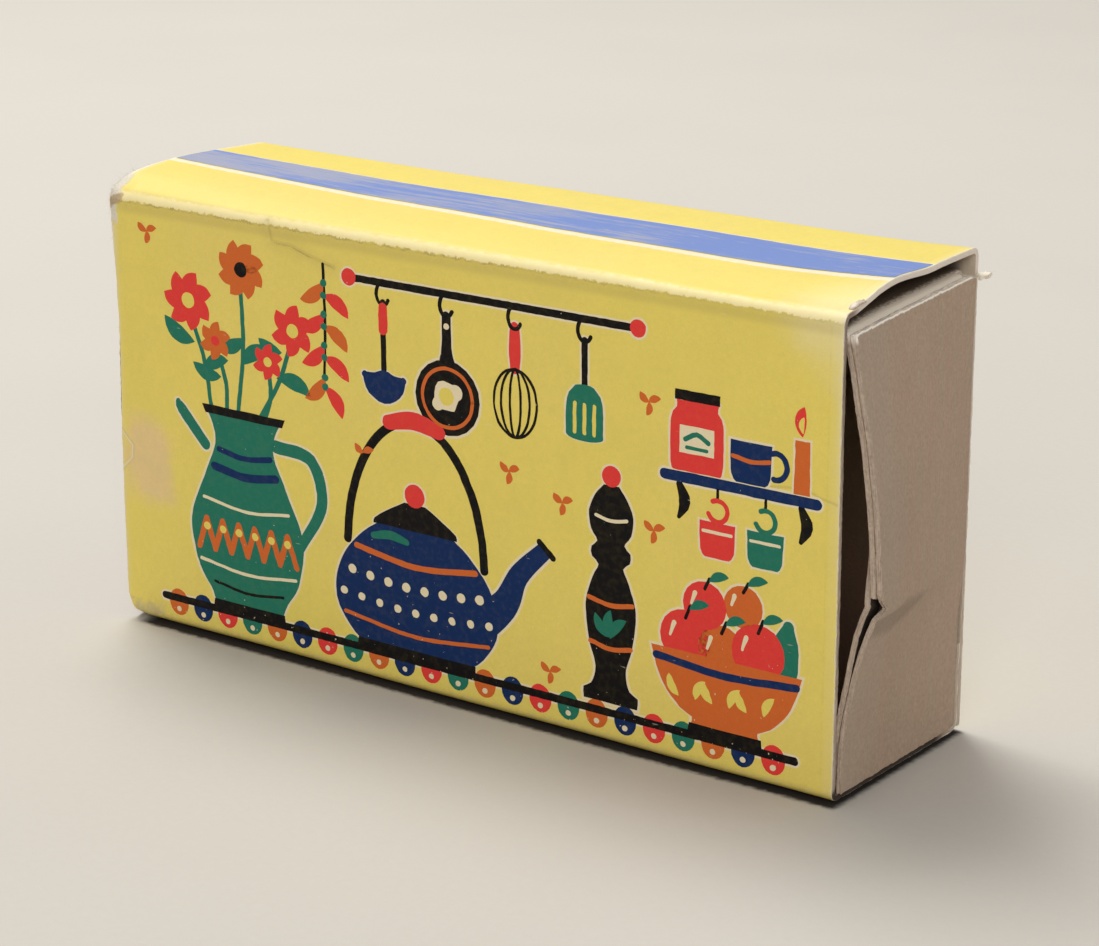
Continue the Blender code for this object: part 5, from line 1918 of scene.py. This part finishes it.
class MATCHBOX_OT_stage(bpy.types.Operator):
    """Set up the pale floor, the soft lights and the camera"""

    bl_idname = "matchbox.stage"
    bl_label = "Stage"

    def execute(self, context):
        """Make the floor, a square grid raised by 0.3 (r - 1.2)^2 beyond 1.2 m, the lights and the camera."""
        studio = context.scene.matchbox_studio
        row = np.linspace(-FLOOR.half, FLOOR.half, FLOOR.points)
        across, along = np.meshgrid(row, row, indexing="ij")
        height = FLOOR.rise * np.clip(np.hypot(across, along) - FLOOR.level, 0, None) ** 2 - FLOOR.sunk
        places = np.stack([across, along, height], -1)
        floor = make_piece("studio_floor", places.reshape(-1, 3), grid_faces(*across.shape), floor_finish())
        world = bpy.data.worlds.new("studio_world")
        world.use_nodes = True
        background = world.node_tree.nodes["Background"].inputs
        background["Color"].default_value = SKY_TINT
        background["Strength"].default_value = studio.sky
        context.scene.world = world
        self.lamp("overhead_light", OVERHEAD, studio.overhead)
        self.lamp("side_light", SIDE, studio.side)
        self.camera(context.scene, studio)
        context.scene.view_settings.view_transform = "Standard"
        return {"FINISHED"}

    @staticmethod
    def lamp(name, kind, power):
        """A square soft lamp that faces the lit spot."""
        light = bpy.data.lights.new(name, "AREA")
        light.shape = "SQUARE"
        light.size = kind.size
        light.energy = power
        lamp = bpy.data.objects.new(name, light)
        lamp.location = kind.place
        way = Vector(LIT_SPOT) - Vector(kind.place)
        lamp.rotation_euler = way.to_track_quat("-Z", "Y").to_euler()
        bpy.context.scene.collection.objects.link(lamp)

    @staticmethod
    def camera(scene, studio):
        """A camera turned by its azimuth, elevation and roll."""
        view = bpy.data.cameras.new("camera")
        view.sensor_width = SENSOR
        view.lens = studio.lens
        view.clip_start = NEAREST
        camera = bpy.data.objects.new("camera", view)
        side, rise, roll = studio.azimuth, studio.elevation, studio.roll
        back = Vector((math.sin(side) * math.cos(rise), -math.cos(side) * math.cos(rise), math.sin(rise)))
        level = Vector((math.cos(side), math.sin(side), 0.0))
        above = back.cross(level)
        right = level * math.cos(roll) + above * math.sin(roll)
        up = above * math.cos(roll) - level * math.sin(roll)
        turned = Matrix((right, up, back)).transposed().to_4x4()
        turned.translation = Vector(studio.eye)
        camera.matrix_world = turned
        scene.collection.objects.link(camera)
        scene.camera = camera


class MATCHBOX_PT_panel(bpy.types.Panel):
    """The matchbox in the sidebar"""

    bl_label = "Matchbox"
    bl_idname = "MATCHBOX_PT_panel"
    bl_space_type = "VIEW_3D"
    bl_region_type = "UI"
    bl_category = "Matchbox"

    def draw(self, context):
        """List the makers and the values that they read."""
        for operator in OPERATORS:
            self.layout.operator(operator.bl_idname)
        scene = context.scene
        for group in (scene.matchbox_sizes, scene.matchbox_colours, scene.matchbox_studio):
            box = self.layout.box()
            for key in group.__annotations__:
                box.prop(group, key)


GROUPS = (MatchboxSizes, MatchboxColours, MatchboxStudio)
OPERATORS = (
    MATCHBOX_OT_stage,
    MATCHBOX_OT_sleeve,
    MATCHBOX_OT_strips,
    MATCHBOX_OT_tray,
    MATCHBOX_OT_glue,
    MATCHBOX_OT_picture,
    MATCHBOX_OT_torn_paper,
)


def register():
    """Register the groups, makers and panel."""
    for kind in GROUPS + OPERATORS + (MATCHBOX_PT_panel,):
        bpy.utils.register_class(kind)
    bpy.types.Scene.matchbox_sizes = bpy.props.PointerProperty(type=MatchboxSizes)
    bpy.types.Scene.matchbox_colours = bpy.props.PointerProperty(type=MatchboxColours)
    bpy.types.Scene.matchbox_studio = bpy.props.PointerProperty(type=MatchboxStudio)


def unregister():
    """Take everything out again."""
    del bpy.types.Scene.matchbox_sizes
    del bpy.types.Scene.matchbox_colours
    del bpy.types.Scene.matchbox_studio
    for kind in reversed(GROUPS + OPERATORS + (MATCHBOX_PT_panel,)):
        bpy.utils.unregister_class(kind)


def main():
    """Build the whole scene."""
    register()
    for operator in OPERATORS:
        group, name = operator.bl_idname.split(".")
        getattr(getattr(bpy.ops, group), name)()


if __name__ == "__main__":
    main()
